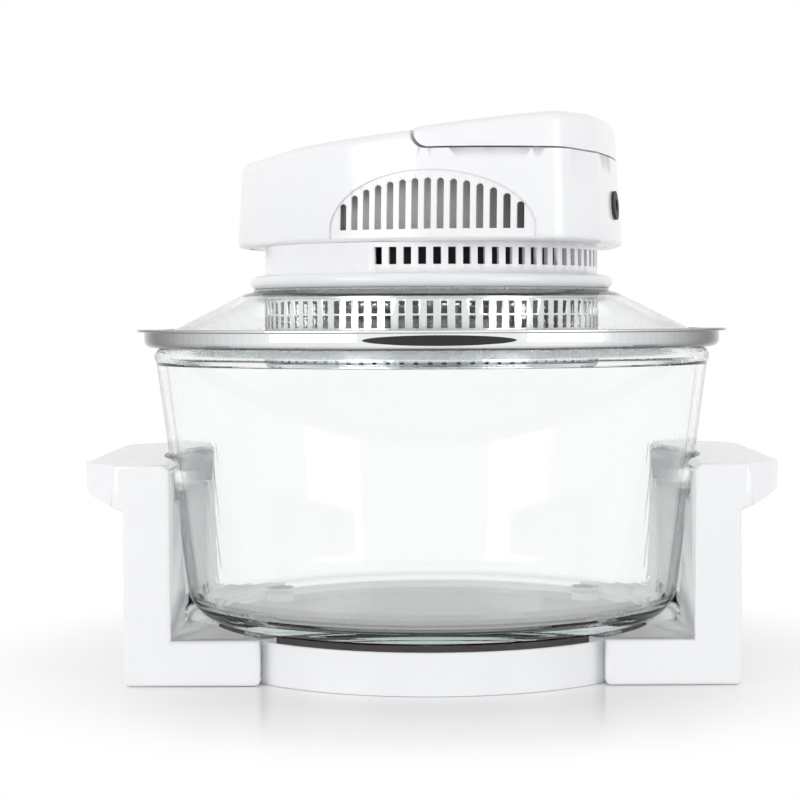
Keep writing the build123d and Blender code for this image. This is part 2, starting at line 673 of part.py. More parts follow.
with BuildPart(HEAD) as neck_collar:
    with BuildSketch(Plane.XZ):
        with BuildLine():
            spigot = LID_HOLE_RADIUS - 2 * SEAT_GAP
            inner = NECK_RADIUS - NECK_WALL
            flange_edge = FLANGE_RADIUS - FLANGE_HEIGHT / 2
            flange_top = neck_base + FLANGE_HEIGHT
            flange_middle = neck_base + FLANGE_HEIGHT / 2
            ThreePointArc((flange_edge, neck_base), (FLANGE_RADIUS, flange_middle), (flange_edge, flange_top))
            Polyline(
                (flange_edge, flange_top),
                (NECK_RADIUS, flange_top),
                (NECK_RADIUS, head_base),
                (UPPER_WEB_INNER_RADIUS, head_base),
                (UPPER_WEB_INNER_RADIUS, head_base - WEB),
                (inner, head_base - WEB),
                (inner, web_top),
                (LOWER_WEB_INNER_RADIUS, web_top),
                (LOWER_WEB_INNER_RADIUS, neck_base),
                (spigot - SPIGOT_WALL, neck_base),
                (spigot - SPIGOT_WALL, neck_base - SPIGOT_DEPTH),
                (spigot, neck_base - SPIGOT_DEPTH),
                (spigot, neck_base),
                (flange_edge, neck_base),
            )
        make_face()
    revolve(axis=Axis.Z)
    slot_foot = neck_base + FLANGE_HEIGHT + NECK_SLOT_FOOT
    slot_height = head_base - WEB - slot_foot
    with Locations((0, 0, slot_foot + slot_height / 2)):
        with PolarLocations(
            NECK_RADIUS - NECK_WALL / 2,
            NECK_SLOT_COUNT,
            start_angle=-NECK_SLOT_RANGE / 2,
            angular_range=NECK_SLOT_RANGE,
            endpoint=True,
        ):
            Box(3 * NECK_WALL, NECK_SLOT_WIDTH, slot_height, mode=Mode.SUBTRACT)
    with Locations((0, 0, (clamp_top + neck_base) / 2)):
        with PolarLocations(CLAMP_SCREW_CIRCLE, CLAMP_SCREW_COUNT):
            Cylinder(SCREW_HEAD_RADIUS, neck_base - clamp_top)
    with Locations((0, 0, head_base - WEB - 4)):
        for start in neck_screw_starts:
            with PolarLocations(NECK_SCREW_CIRCLE, 2, start, 2 * NECK_SCREW_ANGLE, endpoint=True):
                Cylinder(SCREW_HEAD_RADIUS, 8)
    with Locations((0, 0, clamp_top)):
        with PolarLocations(CLAMP_SCREW_CIRCLE, CLAMP_SCREW_COUNT):
            Cylinder(SCREW_RADIUS + SCREW_FIT, 2 * (neck_base - clamp_top) + WEB, mode=Mode.SUBTRACT)
    with Locations((0, 0, head_base)):
        for start in neck_screw_starts:
            with PolarLocations(NECK_SCREW_CIRCLE, 2, start, 2 * NECK_SCREW_ANGLE, endpoint=True):
                Cylinder(SCREW_RADIUS + SCREW_FIT, 16, mode=Mode.SUBTRACT)
save(neck_collar.part, "neck_collar")

with BuildPart(HEAD) as clamp_ring:
    with BuildSketch(HEAD.offset(clamp_base)):
        Circle(CLAMP_OUTER_RADIUS)
        Circle(CLAMP_INNER_RADIUS, mode=Mode.SUBTRACT)
        with PolarLocations(CLAMP_SCREW_CIRCLE, CLAMP_SCREW_COUNT):
            Circle(SCREW_RADIUS + SCREW_FIT, mode=Mode.SUBTRACT)
    extrude(amount=CLAMP_THICKNESS)
save(clamp_ring.part, "clamp_ring")

with BuildPart(HEAD) as clamp_screws:
    with BuildSketch(HEAD.offset(clamp_base - SCREW_HEAD_HEIGHT)):
        with PolarLocations(CLAMP_SCREW_CIRCLE, CLAMP_SCREW_COUNT):
            Circle(SCREW_HEAD_RADIUS)
    extrude(amount=SCREW_HEAD_HEIGHT)
    with BuildSketch(HEAD.offset(clamp_base)):
        with PolarLocations(CLAMP_SCREW_CIRCLE, CLAMP_SCREW_COUNT):
            Circle(SCREW_RADIUS)
    extrude(amount=neck_base - clamp_base)
save(clamp_screws.part, "clamp_screws")

with BuildPart(HEAD) as fan_guard:
    with BuildSketch(Plane.XZ):
        with BuildLine():
            inner = GUARD_RADIUS - GUARD_SHEET
            Polyline(
                (GUARD_RADIUS, guard_base),
                (GUARD_RADIUS, clamp_base),
                (GUARD_RADIUS - GUARD_FLANGE, clamp_base),
                (GUARD_RADIUS - GUARD_FLANGE, clamp_base - GUARD_SHEET),
                (inner, clamp_base - GUARD_SHEET),
                (inner, guard_base + GUARD_SHEET),
                (GUARD_RADIUS - GUARD_LIP, guard_base + GUARD_SHEET),
                (GUARD_RADIUS - GUARD_LIP, guard_base),
                close=True,
            )
        make_face()
    revolve(axis=Axis.Z)
    for depth in GUARD_ROW_DEPTHS:
        with Locations((0, 0, clamp_base - depth)):
            with PolarLocations(GUARD_RADIUS - GUARD_SHEET / 2, GUARD_SLOT_COUNT):
                Box(4 * GUARD_SHEET, GUARD_SLOT_WIDTH, GUARD_SLOT_HEIGHT, mode=Mode.SUBTRACT)
    with Locations((0, 0, clamp_base - GUARD_DOT_DEPTH)):
        with PolarLocations(GUARD_RADIUS - GUARD_SHEET / 2, GUARD_SLOT_COUNT):
            Box(4 * GUARD_SHEET, GUARD_DOT_SIZE, GUARD_DOT_SIZE, mode=Mode.SUBTRACT)
save(fan_guard.part, "fan_guard")

with BuildPart(HEAD) as guard_grille:
    with BuildSketch(HEAD.offset(guard_base + GUARD_SHEET)):
        Circle(GUARD_RADIUS - GUARD_SHEET - SCREW_FIT)
        for count, start, end in GRILLE_RINGS:
            with PolarLocations((start + end) / 2, count):
                Rectangle(end - start, GRILLE_SLOT_WIDTH, mode=Mode.SUBTRACT)
    extrude(amount=GUARD_SHEET)
save(guard_grille.part, "guard_grille")

leg_points = [Vector(LAMP_RING_RADIUS, 0, 0).rotate(Axis.Z, angle) for angle in (0, -LAMP_GAP_ANGLE)]

with BuildPart(HEAD) as reflector:
    with BuildSketch(HEAD.offset(clamp_top)):
        Circle(REFLECTOR_RADIUS)
        Circle(SHAFT_RADIUS + 1, mode=Mode.SUBTRACT)
        with Locations(*leg_points):
            Circle(LAMP_TUBE_RADIUS + 2 * SEAT_GAP, mode=Mode.SUBTRACT)
    extrude(amount=REFLECTOR_SHEET)
save(reflector.part, "reflector")

with BuildPart(HEAD) as halogen_tube:
    with BuildSketch(HEAD_SIDE):
        with Locations((LAMP_RING_RADIUS, lamp_height)):
            Circle(LAMP_TUBE_RADIUS)
    revolve(axis=Axis.Z, revolution_arc=360 - LAMP_GAP_ANGLE)
    with Locations(*[(point.X, point.Y, lamp_height) for point in leg_points]):
        Sphere(LAMP_TUBE_RADIUS)
    with BuildSketch(HEAD.offset(lamp_height)):
        with Locations(*leg_points):
            Circle(LAMP_TUBE_RADIUS)
    extrude(amount=reflector_top + LAMP_LEG_GRIP - lamp_height)
save(halogen_tube.part, "halogen_tube")

with BuildPart(HEAD) as lamp_holders:
    with BuildSketch(HEAD.offset(reflector_top)):
        with Locations(*leg_points):
            Rectangle(HOLDER_SIZE, HOLDER_SIZE)
        with Locations(*leg_points):
            Circle(LAMP_TUBE_RADIUS + SEAT_GAP, mode=Mode.SUBTRACT)
    extrude(amount=web_top - reflector_top)
save(lamp_holders.part, "lamp_holders")

with BuildPart(HEAD) as heat_baffle:
    with BuildSketch(HEAD.offset(web_top)):
        Circle(BAFFLE_RADIUS)
        Circle(SHAFT_RADIUS + 1, mode=Mode.SUBTRACT)
    extrude(amount=BAFFLE_SHEET)
save(heat_baffle.part, "heat_baffle")

# ---------------------------------------------------------------- motor and fans
with BuildPart(HEAD) as motor_bracket:
    with BuildSketch(HEAD.offset(baffle_top)) as strip:
        Rectangle(MOTOR_BRACKET_LENGTH, MOTOR_BRACKET_WIDTH)
        fillet(strip.vertices(), MOTOR_BRACKET_WIDTH / 6)
        Circle(SHAFT_RADIUS + 1, mode=Mode.SUBTRACT)
    extrude(amount=MOTOR_BRACKET_SHEET)
save(motor_bracket.part, "motor_bracket")

with BuildPart(HEAD) as bearing_straps:
    for height in (motor_seat, stator_top):
        with BuildSketch(HEAD.offset(height)):
            Rectangle(STATOR_SIZE, STRAP_WIDTH)
            Circle(SHAFT_RADIUS + RUNNING_FIT, mode=Mode.SUBTRACT)
        extrude(amount=STRAP_HEIGHT)
save(bearing_straps.part, "bearing_straps")

with BuildPart(HEAD) as motor_stator:
    with BuildSketch(HEAD.offset(stator_base)) as lamination:
        Rectangle(STATOR_SIZE, STATOR_SIZE)
        with Locations((STATOR_SIZE / 2 + STATOR_LIMB / 2, 0)):
            Rectangle(STATOR_LIMB, STATOR_LIMB_WIDTH)
        with Locations((STATOR_SIZE / 2 + STATOR_LIMB + STATOR_YOKE / 2, 0)):
            Rectangle(STATOR_YOKE, COIL_WIDTH)
        Circle(ROTOR_RADIUS + ROTOR_GAP, mode=Mode.SUBTRACT)
    extrude(amount=STATOR_STACK)
save(motor_stator.part, "motor_stator")

with BuildPart(HEAD) as motor_coil:
    coil_middle = HEAD.from_local_coords((STATOR_SIZE / 2 + COIL_FIT, 0, 0))
    coil_plane = Plane(origin=coil_middle, x_dir=HEAD.y_dir, z_dir=HEAD.x_dir)
    with BuildSketch(coil_plane) as coil_section:
        with Locations((0, stator_base + STATOR_STACK / 2)):
            RectangleRounded(COIL_WIDTH, COIL_HEIGHT, COIL_HEIGHT / 6)
            Rectangle(STATOR_LIMB_WIDTH + 2 * COIL_FIT, STATOR_STACK + 2 * COIL_FIT, mode=Mode.SUBTRACT)
    extrude(amount=STATOR_LIMB - 2 * COIL_FIT)
save(motor_coil.part, "motor_coil")

with BuildPart(HEAD) as motor_rotor:
    with BuildSketch(HEAD.offset(stator_base + ROTOR_GAP)):
        Circle(ROTOR_RADIUS)
        Circle(SHAFT_RADIUS + RUNNING_FIT, mode=Mode.SUBTRACT)
    extrude(amount=STATOR_STACK - 2 * ROTOR_GAP)
save(motor_rotor.part, "motor_rotor")

with BuildPart(HEAD) as motor_shaft:
    with BuildSketch(HEAD.offset(shaft_base)):
        Circle(SHAFT_RADIUS)
    extrude(amount=SHAFT_LENGTH)
save(motor_shaft.part, "motor_shaft")

with BuildPart(HEAD) as oven_fan:
    with BuildSketch(HEAD.offset(oven_fan_base)):
        Circle(FAN_HUB_RADIUS)
    extrude(amount=OVEN_FAN_HEIGHT)
    with BuildSketch(HEAD.offset(oven_fan_base + OVEN_FAN_HEIGHT - FAN_SHEET)):
        Circle(OVEN_FAN_RADIUS)
    extrude(amount=FAN_SHEET)
    blade_length = OVEN_FAN_RADIUS - 2.2 * FAN_HUB_RADIUS
    with BuildSketch(HEAD.offset(oven_fan_base)):
        with PolarLocations(OVEN_FAN_RADIUS - blade_length / 2, OVEN_FAN_BLADES):
            Rectangle(blade_length, FAN_SHEET)
    extrude(amount=OVEN_FAN_HEIGHT - FAN_SHEET)
    with BuildSketch(HEAD.offset(oven_fan_base)):
        Circle(SHAFT_RADIUS + RUNNING_FIT)
    extrude(amount=OVEN_FAN_HEIGHT, mode=Mode.SUBTRACT)
save(oven_fan.part, "oven_fan")

with BuildPart(HEAD) as cooling_fan:
    with BuildSketch(HEAD.offset(cooling_fan_base)):
        Circle(FAN_HUB_RADIUS)
    extrude(amount=COOLING_FAN_HEIGHT)
    with Locations((0, 0, cooling_fan_base + COOLING_FAN_HEIGHT / 2)):
        with PolarLocations((COOLING_FAN_RADIUS + FAN_HUB_RADIUS - 1) / 2, COOLING_FAN_BLADES):
            Box(
                COOLING_FAN_RADIUS - FAN_HUB_RADIUS + 1,
                COOLING_BLADE_CHORD,
                FAN_SHEET,
                rotation=(COOLING_BLADE_PITCH, 0, 0),
            )
    with BuildSketch(HEAD.offset(cooling_fan_base)):
        Circle(SHAFT_RADIUS + RUNNING_FIT)
    extrude(amount=COOLING_FAN_HEIGHT, mode=Mode.SUBTRACT)
save(cooling_fan.part, "cooling_fan")

# ---------------------------------------------------------------- head housing
neck_screw_angles = (-NECK_SCREW_ANGLE, NECK_SCREW_ANGLE, 180 - NECK_SCREW_ANGLE, 180 + NECK_SCREW_ANGLE)
neck_screw_points = [Vector(NECK_SCREW_CIRCLE, 0, 0).rotate(Axis.Z, angle) for angle in neck_screw_angles]
post_points = [(x, side * y) for x, y in POSTS for side in (-1, 1)]
vent_base = head_base + VENT_FOOT
vent_reach = (VENT_COUNT + 1.4) / 2 * VENT_PITCH
blank_height = HEAD_HEIGHT + 2 * HANDLE_AT_BACK
deck_bottom = deck - HEAD_WALL
GLAND = Plane(
    origin=HEAD.from_local_coords((HEAD_BACK - GLAND_HEIGHT * draft_slope, 0, head_base + GLAND_HEIGHT)),
    x_dir=HEAD.y_dir,
    z_dir=HEAD.x_dir + HEAD.z_dir * draft_slope,
)
panel_face = -PANEL_RECESS
panel_bottom = panel_face - PANEL_THICKNESS
ledge_bottom = panel_bottom - LEDGE_DEPTH
board_top = ledge_bottom - STANDOFF_HEIGHT
key_top = panel_face + KEY_PROUD
flange_top = panel_bottom - KEY_PLAY
stem_bottom = ledge_bottom - KEY_FLANGE
standoff_x = (PANEL_LENGTH - PANEL_LEDGE) / 2
standoff_y = (PANEL_WIDTH - PANEL_LEDGE) / 2
standoff_points = [(x * standoff_x, y * standoff_y) for x, y in foot_points]
key_points = [(row, y) for row in KEY_ROWS for y in (-KEY_SPREAD, 0, KEY_SPREAD)]

with BuildPart(HEAD) as vent_recess:
    with BuildSketch(HEAD_SIDE):
        with Locations((VENT_CENTRE, vent_base)):
            Ellipse(vent_reach, VENT_RISE + VENT_MARGIN)
        with Locations((VENT_CENTRE, vent_base - VENT_MARGIN + HEAD_HEIGHT / 2)):
            Rectangle(4 * vent_reach, HEAD_HEIGHT, mode=Mode.INTERSECT)
    extrude(amount=2 * HEAD_HALF_WIDTH, both=True)
    with BuildSketch(HEAD.offset(head_base)):
        add(head_outline(VENT_RECESS))
    extrude(amount=HEAD_HEIGHT, taper=HEAD_DRAFT, mode=Mode.SUBTRACT)

with BuildPart(HEAD) as handle_channel:
    with BuildSketch(HEAD_SIDE):
        with Locations((channel_front + HANDLE_END_RADIUS + HANDLE_GAP, pivot_z)):
            Circle(HANDLE_END_RADIUS + HANDLE_GAP)
        with Locations((channel_front, pivot_z)):
            Rectangle(2 * HEAD_BACK, HEAD_HEIGHT, align=(Align.MIN, Align.MIN))
        with Locations((PIVOT_X, deck)):
            Rectangle(2 * HEAD_BACK, HEAD_HEIGHT, align=(Align.MIN, Align.MIN))
    extrude(amount=2 * HEAD_HALF_WIDTH, both=True)
    with BuildSketch(HEAD.offset(head_base)) as middle:
        add(head_outline(crown_inset))
        with Locations((CROWN_BACK, 0)):
            Rectangle(2 * HEAD_BACK, 2 * HEAD_HALF_WIDTH, align=(Align.MIN, Align.CENTER), mode=Mode.SUBTRACT)
        fillet(middle.vertices().group_by(Axis.X)[-1], HEAD_CORNER / 2)
    extrude(amount=blank_height, mode=Mode.SUBTRACT)

with BuildPart(HEAD) as crown_cavity:
    with BuildSketch(HEAD.offset(deck_bottom - 1)):
        add(head_outline(deck_inset + HEAD_WALL))
        with Locations((channel_front - HEAD_WALL, 0)):
            Rectangle(2 * HEAD_FRONT, 2 * HEAD_HALF_WIDTH, align=forwards, mode=Mode.INTERSECT)
    extrude(amount=HEAD_HEIGHT)
    with BuildSketch(HEAD.offset(deck_bottom - 1)):
        add(head_outline(crown_inset + HEAD_WALL))
        with Locations((CROWN_BACK - HEAD_WALL, 0)):
            Rectangle(3 * HEAD_FRONT, 2 * HEAD_HALF_WIDTH, align=forwards, mode=Mode.INTERSECT)
    extrude(amount=HEAD_HEIGHT)
    with BuildSketch(HEAD_SIDE):
        add(area_under(TOP_AT_PIVOT - HEAD_WALL, top_slope))
    extrude(amount=2 * HEAD_HALF_WIDTH, both=True, mode=Mode.INTERSECT)
    crown_side = HEAD_HALF_WIDTH - crown_inset
    for side in (-1, 1):
        with BuildSketch(HEAD_SIDE.offset(side * (crown_side - PIN_IN_CROWN - 1))):
            with Locations((PIVOT_X, pivot_z)):
                Circle(PIN_BOSS_RADIUS)
        extrude(amount=side * HANDLE_WIDTH, mode=Mode.SUBTRACT)

with BuildPart() as head_shell:
    with BuildSketch(HEAD.offset(head_base)):
        add(head_outline(0))
    extrude(amount=blank_height, taper=HEAD_DRAFT)
    with BuildSketch(HEAD_SIDE):
        add(area_under(TOP_AT_PIVOT, top_slope))
    extrude(amount=2 * HEAD_HALF_WIDTH, both=True, mode=Mode.INTERSECT)
    fillet(head_shell.faces().sort_by(Axis.Z)[-1].edges(), HEAD_TOP_ROUND)
    fillet(head_shell.faces().sort_by(Axis.Z)[0].edges(), HEAD_BASE_ROUND)
    add(handle_channel.part, mode=Mode.SUBTRACT)
    with BuildSketch(HEAD.offset(floor_top)):
        add(head_outline(HEAD_WALL + HEAD_WALL * draft_slope))
    extrude(amount=deck_bottom - floor_top, taper=HEAD_DRAFT, mode=Mode.SUBTRACT)
    add(crown_cavity.part, mode=Mode.SUBTRACT)
    with BuildSketch(PANEL):
        RectangleRounded(
            PANEL_LENGTH + 2 * PANEL_WALL, PANEL_WIDTH + 2 * PANEL_WALL, PANEL_CORNER + PANEL_WALL
        )
    extrude(amount=ledge_bottom)
    with BuildSketch(HEAD.offset(head_base)):
        add(head_outline(HEAD_WALL + HEAD_LIP))
    extrude(amount=HEAD_WALL, mode=Mode.SUBTRACT)
    with BuildSketch(HEAD.offset(floor_top)):
        with Locations(*post_points):
            Circle(POST_RADIUS)
    extrude(amount=HEAD_HEIGHT - HEAD_WALL - HEAD_WALL / 2)
    with BuildSketch(HEAD.offset(floor_top)):
        with Locations(*post_points):
            Circle(SCREW_RADIUS + SCREW_FIT)
    extrude(amount=POST_SCREW_LENGTH, mode=Mode.SUBTRACT)
    add(vent_recess.part, mode=Mode.SUBTRACT)
    for side in (-1, 1):
        with BuildSketch(HEAD_SIDE.offset(side * VENT_CUT_START)):
            for place in range(VENT_COUNT):
                across = (place - (VENT_COUNT - 1) / 2) * VENT_PITCH
                height = VENT_RISE * math.sqrt(1 - (across / vent_reach) ** 2)
                with Locations((VENT_CENTRE + across, vent_base)):
                    Rectangle(VENT_WIDTH, height - VENT_WIDTH / 2, align=(Align.CENTER, Align.MIN))
                with Locations((VENT_CENTRE + across, vent_base + height - VENT_WIDTH / 2)):
                    Circle(VENT_WIDTH / 2)
        extrude(amount=side * HANDLE_WIDTH, mode=Mode.SUBTRACT)
    with BuildSketch(GLAND.offset(-3 * HEAD_WALL)):
        Circle(GLAND_RADIUS + SCREW_FIT)
    extrude(amount=6 * HEAD_WALL, mode=Mode.SUBTRACT)
    for side in (-1, 1):
        with BuildSketch(HEAD_SIDE.offset(side * (crown_side - PIN_IN_CROWN))):
            with Locations((PIVOT_X, pivot_z)):
                Circle(PIN_RADIUS + RUNNING_FIT)
        extrude(amount=side * HANDLE_WIDTH, mode=Mode.SUBTRACT)
    with BuildSketch(HEAD.offset(deck)):
        with Locations(SWITCH_PLACE):
            Circle(PLUNGER_RADIUS + RUNNING_FIT)
    extrude(amount=-2 * HEAD_WALL, mode=Mode.SUBTRACT)
    with BuildSketch(PANEL.offset(HEAD_WALL)):
        RectangleRounded(PANEL_LENGTH, PANEL_WIDTH, PANEL_CORNER)
    extrude(amount=-HEAD_WALL - PANEL_RECESS - PANEL_THICKNESS, mode=Mode.SUBTRACT)
    with BuildSketch(PANEL):
        RectangleRounded(
            PANEL_LENGTH - 2 * PANEL_LEDGE, PANEL_WIDTH - 2 * PANEL_LEDGE, PANEL_CORNER - PANEL_LEDGE
        )
    extrude(amount=ledge_bottom, mode=Mode.SUBTRACT)
    with BuildSketch(PANEL.offset(ledge_bottom)):
        with Locations(*standoff_points):
            Circle(STANDOFF_RADIUS)
    extrude(amount=-STANDOFF_HEIGHT)
    with BuildSketch(PANEL.offset(ledge_bottom - STANDOFF_HEIGHT)):
        with Locations(*standoff_points):
            Circle(SCREW_RADIUS + SCREW_FIT)
    extrude(amount=STANDOFF_HEIGHT + LEDGE_DEPTH / 2, mode=Mode.SUBTRACT)
save(head_shell.part, "head_shell")

with BuildPart(HEAD) as head_floor:
    with BuildSketch(HEAD.offset(head_base)):
        add(head_outline(HEAD_WALL + HEAD_LIP + SEAT_GAP))
        Circle(FLOOR_HOLE_RADIUS, mode=Mode.SUBTRACT)
        with Locations(*neck_screw_points, *post_points):
            Circle(SCREW_RADIUS + SCREW_FIT, mode=Mode.SUBTRACT)
    extrude(amount=HEAD_WALL)
    with BuildSketch(HEAD.offset(head_base)):
        with Locations(*post_points):
            Circle(SCREW_HEAD_RADIUS + SCREW_FIT)
    extrude(amount=SCREW_HEAD_HEIGHT, mode=Mode.SUBTRACT)
save(head_floor.part, "head_floor")

with BuildPart(HEAD) as shell_screws:
    with BuildSketch(HEAD.offset(head_base)):
        with Locations(*post_points):
            Circle(SCREW_HEAD_RADIUS)
    extrude(amount=SCREW_HEAD_HEIGHT)
    with BuildSketch(HEAD.offset(head_base + SCREW_HEAD_HEIGHT)):
        with Locations(*post_points):
            Circle(SCREW_RADIUS)
    extrude(amount=POST_SCREW_LENGTH - SCREW_HEAD_HEIGHT)
save(shell_screws.part, "shell_screws")

with BuildPart(HEAD) as neck_screws:
    with BuildSketch(HEAD.offset(floor_top)):
        with Locations(*neck_screw_points):
            Circle(SCREW_HEAD_RADIUS)
    extrude(amount=SCREW_HEAD_HEIGHT)
    with BuildSketch(HEAD.offset(floor_top)):
        with Locations(*neck_screw_points):
            Circle(SCREW_RADIUS)
    extrude(amount=-HEAD_WALL - NECK_SCREW_GRIP)
save(neck_screws.part, "neck_screws")

with BuildPart(HEAD) as cord_gland:
    with BuildSketch(GLAND.offset(-HEAD_WALL - GLAND_FLANGE)):
        Circle(GLAND_RADIUS)
    extrude(amount=HEAD_WALL + 2 * GLAND_FLANGE)
    with BuildSketch(GLAND.offset(SEAT_GAP)):
        Circle(GLAND_RADIUS + GLAND_FLANGE)
    extrude(amount=GLAND_FLANGE)
    with BuildSketch(GLAND.offset(2 * GLAND_FLANGE)):
        Circle(GLAND_BORE_RADIUS)
    extrude(amount=-2 * HEAD_WALL - 3 * GLAND_FLANGE, mode=Mode.SUBTRACT)
save(cord_gland.part, "cord_gland")

# ---------------------------------------------------------------- controls
with BuildPart(PANEL) as control_panel:
    with BuildSketch(PANEL.offset(panel_bottom)):
        inset = 2 * SCREW_FIT
        RectangleRounded(PANEL_LENGTH - inset, PANEL_WIDTH - inset, PANEL_CORNER - SCREW_FIT)
        with Locations(*key_points):
            Circle(KEY_RADIUS + SCREW_FIT, mode=Mode.SUBTRACT)
        with Locations((DISPLAY_PLACE, 0)):
            Rectangle(DISPLAY_SIZE[0] + inset, DISPLAY_SIZE[1] + inset, mode=Mode.SUBTRACT)
    extrude(amount=PANEL_THICKNESS)
save(control_panel.part, "control_panel")

with BuildPart(PANEL) as display_window:
    with BuildSketch(PANEL.offset(panel_bottom)):
        with Locations((DISPLAY_PLACE, 0)):
            Rectangle(*DISPLAY_SIZE)
    extrude(amount=PANEL_THICKNESS)
save(display_window.part, "display_window")

with BuildPart(PANEL) as display_module:
    with BuildSketch(PANEL.offset(board_top)):
        with Locations((DISPLAY_PLACE, 0)):
            Rectangle(DISPLAY_SIZE[0] + DISPLAY_BEZEL, DISPLAY_SIZE[1] + DISPLAY_BEZEL)
    extrude(amount=panel_bottom - board_top)
save(display_module.part, "display_module")

with BuildPart(PANEL) as control_board:
    with BuildSketch(PANEL.offset(board_top)):
        Rectangle(PANEL_LENGTH + 2 * BOARD_MARGIN, PANEL_WIDTH + 2 * BOARD_MARGIN)
        with Locations(*standoff_points):
            Circle(SCREW_RADIUS + SCREW_FIT, mode=Mode.SUBTRACT)
    extrude(amount=-BOARD_THICKNESS)
save(control_board.part, "control_board")

with BuildPart(PANEL) as board_screws:
    with BuildSketch(PANEL.offset(board_top - BOARD_THICKNESS)):
        with Locations(*standoff_points):
            Circle(SCREW_HEAD_RADIUS)
    extrude(amount=-SCREW_HEAD_HEIGHT)
    with BuildSketch(PANEL.offset(board_top - BOARD_THICKNESS)):
        with Locations(*standoff_points):
            Circle(SCREW_RADIUS)
    extrude(amount=BOARD_THICKNESS + STANDOFF_HEIGHT)
save(board_screws.part, "board_screws")

with BuildPart(PANEL) as key_switches:
    with BuildSketch(PANEL.offset(board_top)):
        with Locations(*key_points):
            Rectangle(SWITCH_BODY, SWITCH_BODY)
    extrude(amount=stem_bottom - KEY_TRAVEL - KEY_PLAY - board_top)
save(key_switches.part, "key_switches")

for name, place in zip(KEY_NAMES, key_points):
    with BuildPart(PANEL) as key:
        with BuildSketch(PANEL.offset(flange_top)):
            with Locations(place):
                Circle(KEY_RADIUS)
        extrude(amount=key_top - flange_top)
        fillet(key.faces().sort_by(Axis.Z)[-1].edges(), KEY_PLAY)
        with BuildSketch(PANEL.offset(flange_top)):
            with Locations(place):
                Circle(KEY_FLANGE_RADIUS)
        extrude(amount=-KEY_FLANGE)
        with BuildSketch(PANEL.offset(stem_bottom)):
            with Locations(place):
                Circle(KEY_STEM_RADIUS)
        extrude(amount=flange_top - KEY_FLANGE - stem_bottom)
    save(key.part, name)

# ---------------------------------------------------------------- lift handle
with BuildPart(HEAD) as handle_side:
    with BuildSketch(HEAD_SIDE):
        with Locations((PIVOT_X, pivot_z)):
            Circle(HANDLE_END_RADIUS)
        with Locations((PIVOT_X - HANDLE_END_RADIUS, pivot_z)):
            Rectangle(2 * HEAD_BACK, HEAD_HEIGHT, align=(Align.MIN, Align.MIN))
        with Locations((PIVOT_X, pivot_z - HANDLE_END_RADIUS)):
            Rectangle(2 * HEAD_BACK, HEAD_HEIGHT, align=(Align.MIN, Align.MIN))
    extrude(amount=2 * HEAD_HALF_WIDTH, both=True)

with BuildPart() as lift_handle:
    with BuildSketch(HEAD.offset(head_base)):
        add(head_outline(0))
    extrude(amount=blank_height, taper=HEAD_DRAFT)
    with BuildSketch(HEAD_SIDE):
        add(area_under(HANDLE_AT_PIVOT, handle_slope))
    extrude(amount=2 * HEAD_HALF_WIDTH, both=True, mode=Mode.INTERSECT)
    fillet(lift_handle.faces().sort_by(Axis.Z)[-1].edges(), HANDLE_TOP_ROUND)
    with BuildSketch(HEAD.offset(head_base)):
        add(head_outline(handle_inner_inset))
    extrude(amount=blank_height, mode=Mode.SUBTRACT)
    add(handle_side.part, mode=Mode.INTERSECT)
    for side in (-1, 1):
        with BuildSketch(HEAD_SIDE.offset(side * (HEAD_HALF_WIDTH - handle_inner_inset - 2 * HANDLE_GAP))):
            with Locations((PIVOT_X, pivot_z)):
                Circle(PIN_RADIUS + RUNNING_FIT)
        extrude(amount=side * (PIN_IN_HANDLE + 2 * HANDLE_GAP + SEAT_GAP), mode=Mode.SUBTRACT)
save(lift_handle.part, "lift_handle")

with BuildPart(HEAD) as handle_pins:
    for side in (-1, 1):
        with BuildSketch(HEAD_SIDE.offset(side * (crown_side - PIN_IN_CROWN + SCREW_FIT))):
            with Locations((PIVOT_X, pivot_z)):
                Circle(PIN_RADIUS)
        extrude(amount=side * (PIN_IN_CROWN + HANDLE_GAP + PIN_IN_HANDLE - SCREW_FIT))
save(handle_pins.part, "handle_pins")

with BuildPart(HEAD) as lid_switch:
    with BuildSketch(HEAD.offset(deck_bottom)):
        with Locations(SWITCH_PLACE):
            Rectangle(SWITCH_SIZE[0], SWITCH_SIZE[1])
            Circle(PLUNGER_RADIUS + RUNNING_FIT, mode=Mode.SUBTRACT)
    extrude(amount=-PLUNGER_IN_SWITCH - PLUNGER_TRAVEL)
    with BuildSketch(HEAD.offset(deck_bottom - PLUNGER_IN_SWITCH - PLUNGER_TRAVEL)):
        with Locations(SWITCH_PLACE):
            Rectangle(SWITCH_SIZE[0], SWITCH_SIZE[1])
    extrude(amount=PLUNGER_IN_SWITCH + PLUNGER_TRAVEL - SWITCH_SIZE[2])
save(lid_switch.part, "lid_switch")

with BuildPart(HEAD) as switch_plunger:
    with BuildSketch(HEAD.offset(deck_bottom - PLUNGER_IN_SWITCH)):
        with Locations(SWITCH_PLACE):
            Circle(PLUNGER_RADIUS)
    extrude(amount=PLUNGER_IN_SWITCH + HEAD_WALL + HANDLE_GAP - SEAT_GAP)
save(switch_plunger.part, "switch_plunger")
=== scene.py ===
"""Halogen oven: the finished pieces, their materials and the studio they stand in.

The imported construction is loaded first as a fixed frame. Each operator below dresses one group of
its pieces, or models a finer piece that stands for one of them. Lengths are in metres.
"""

import math

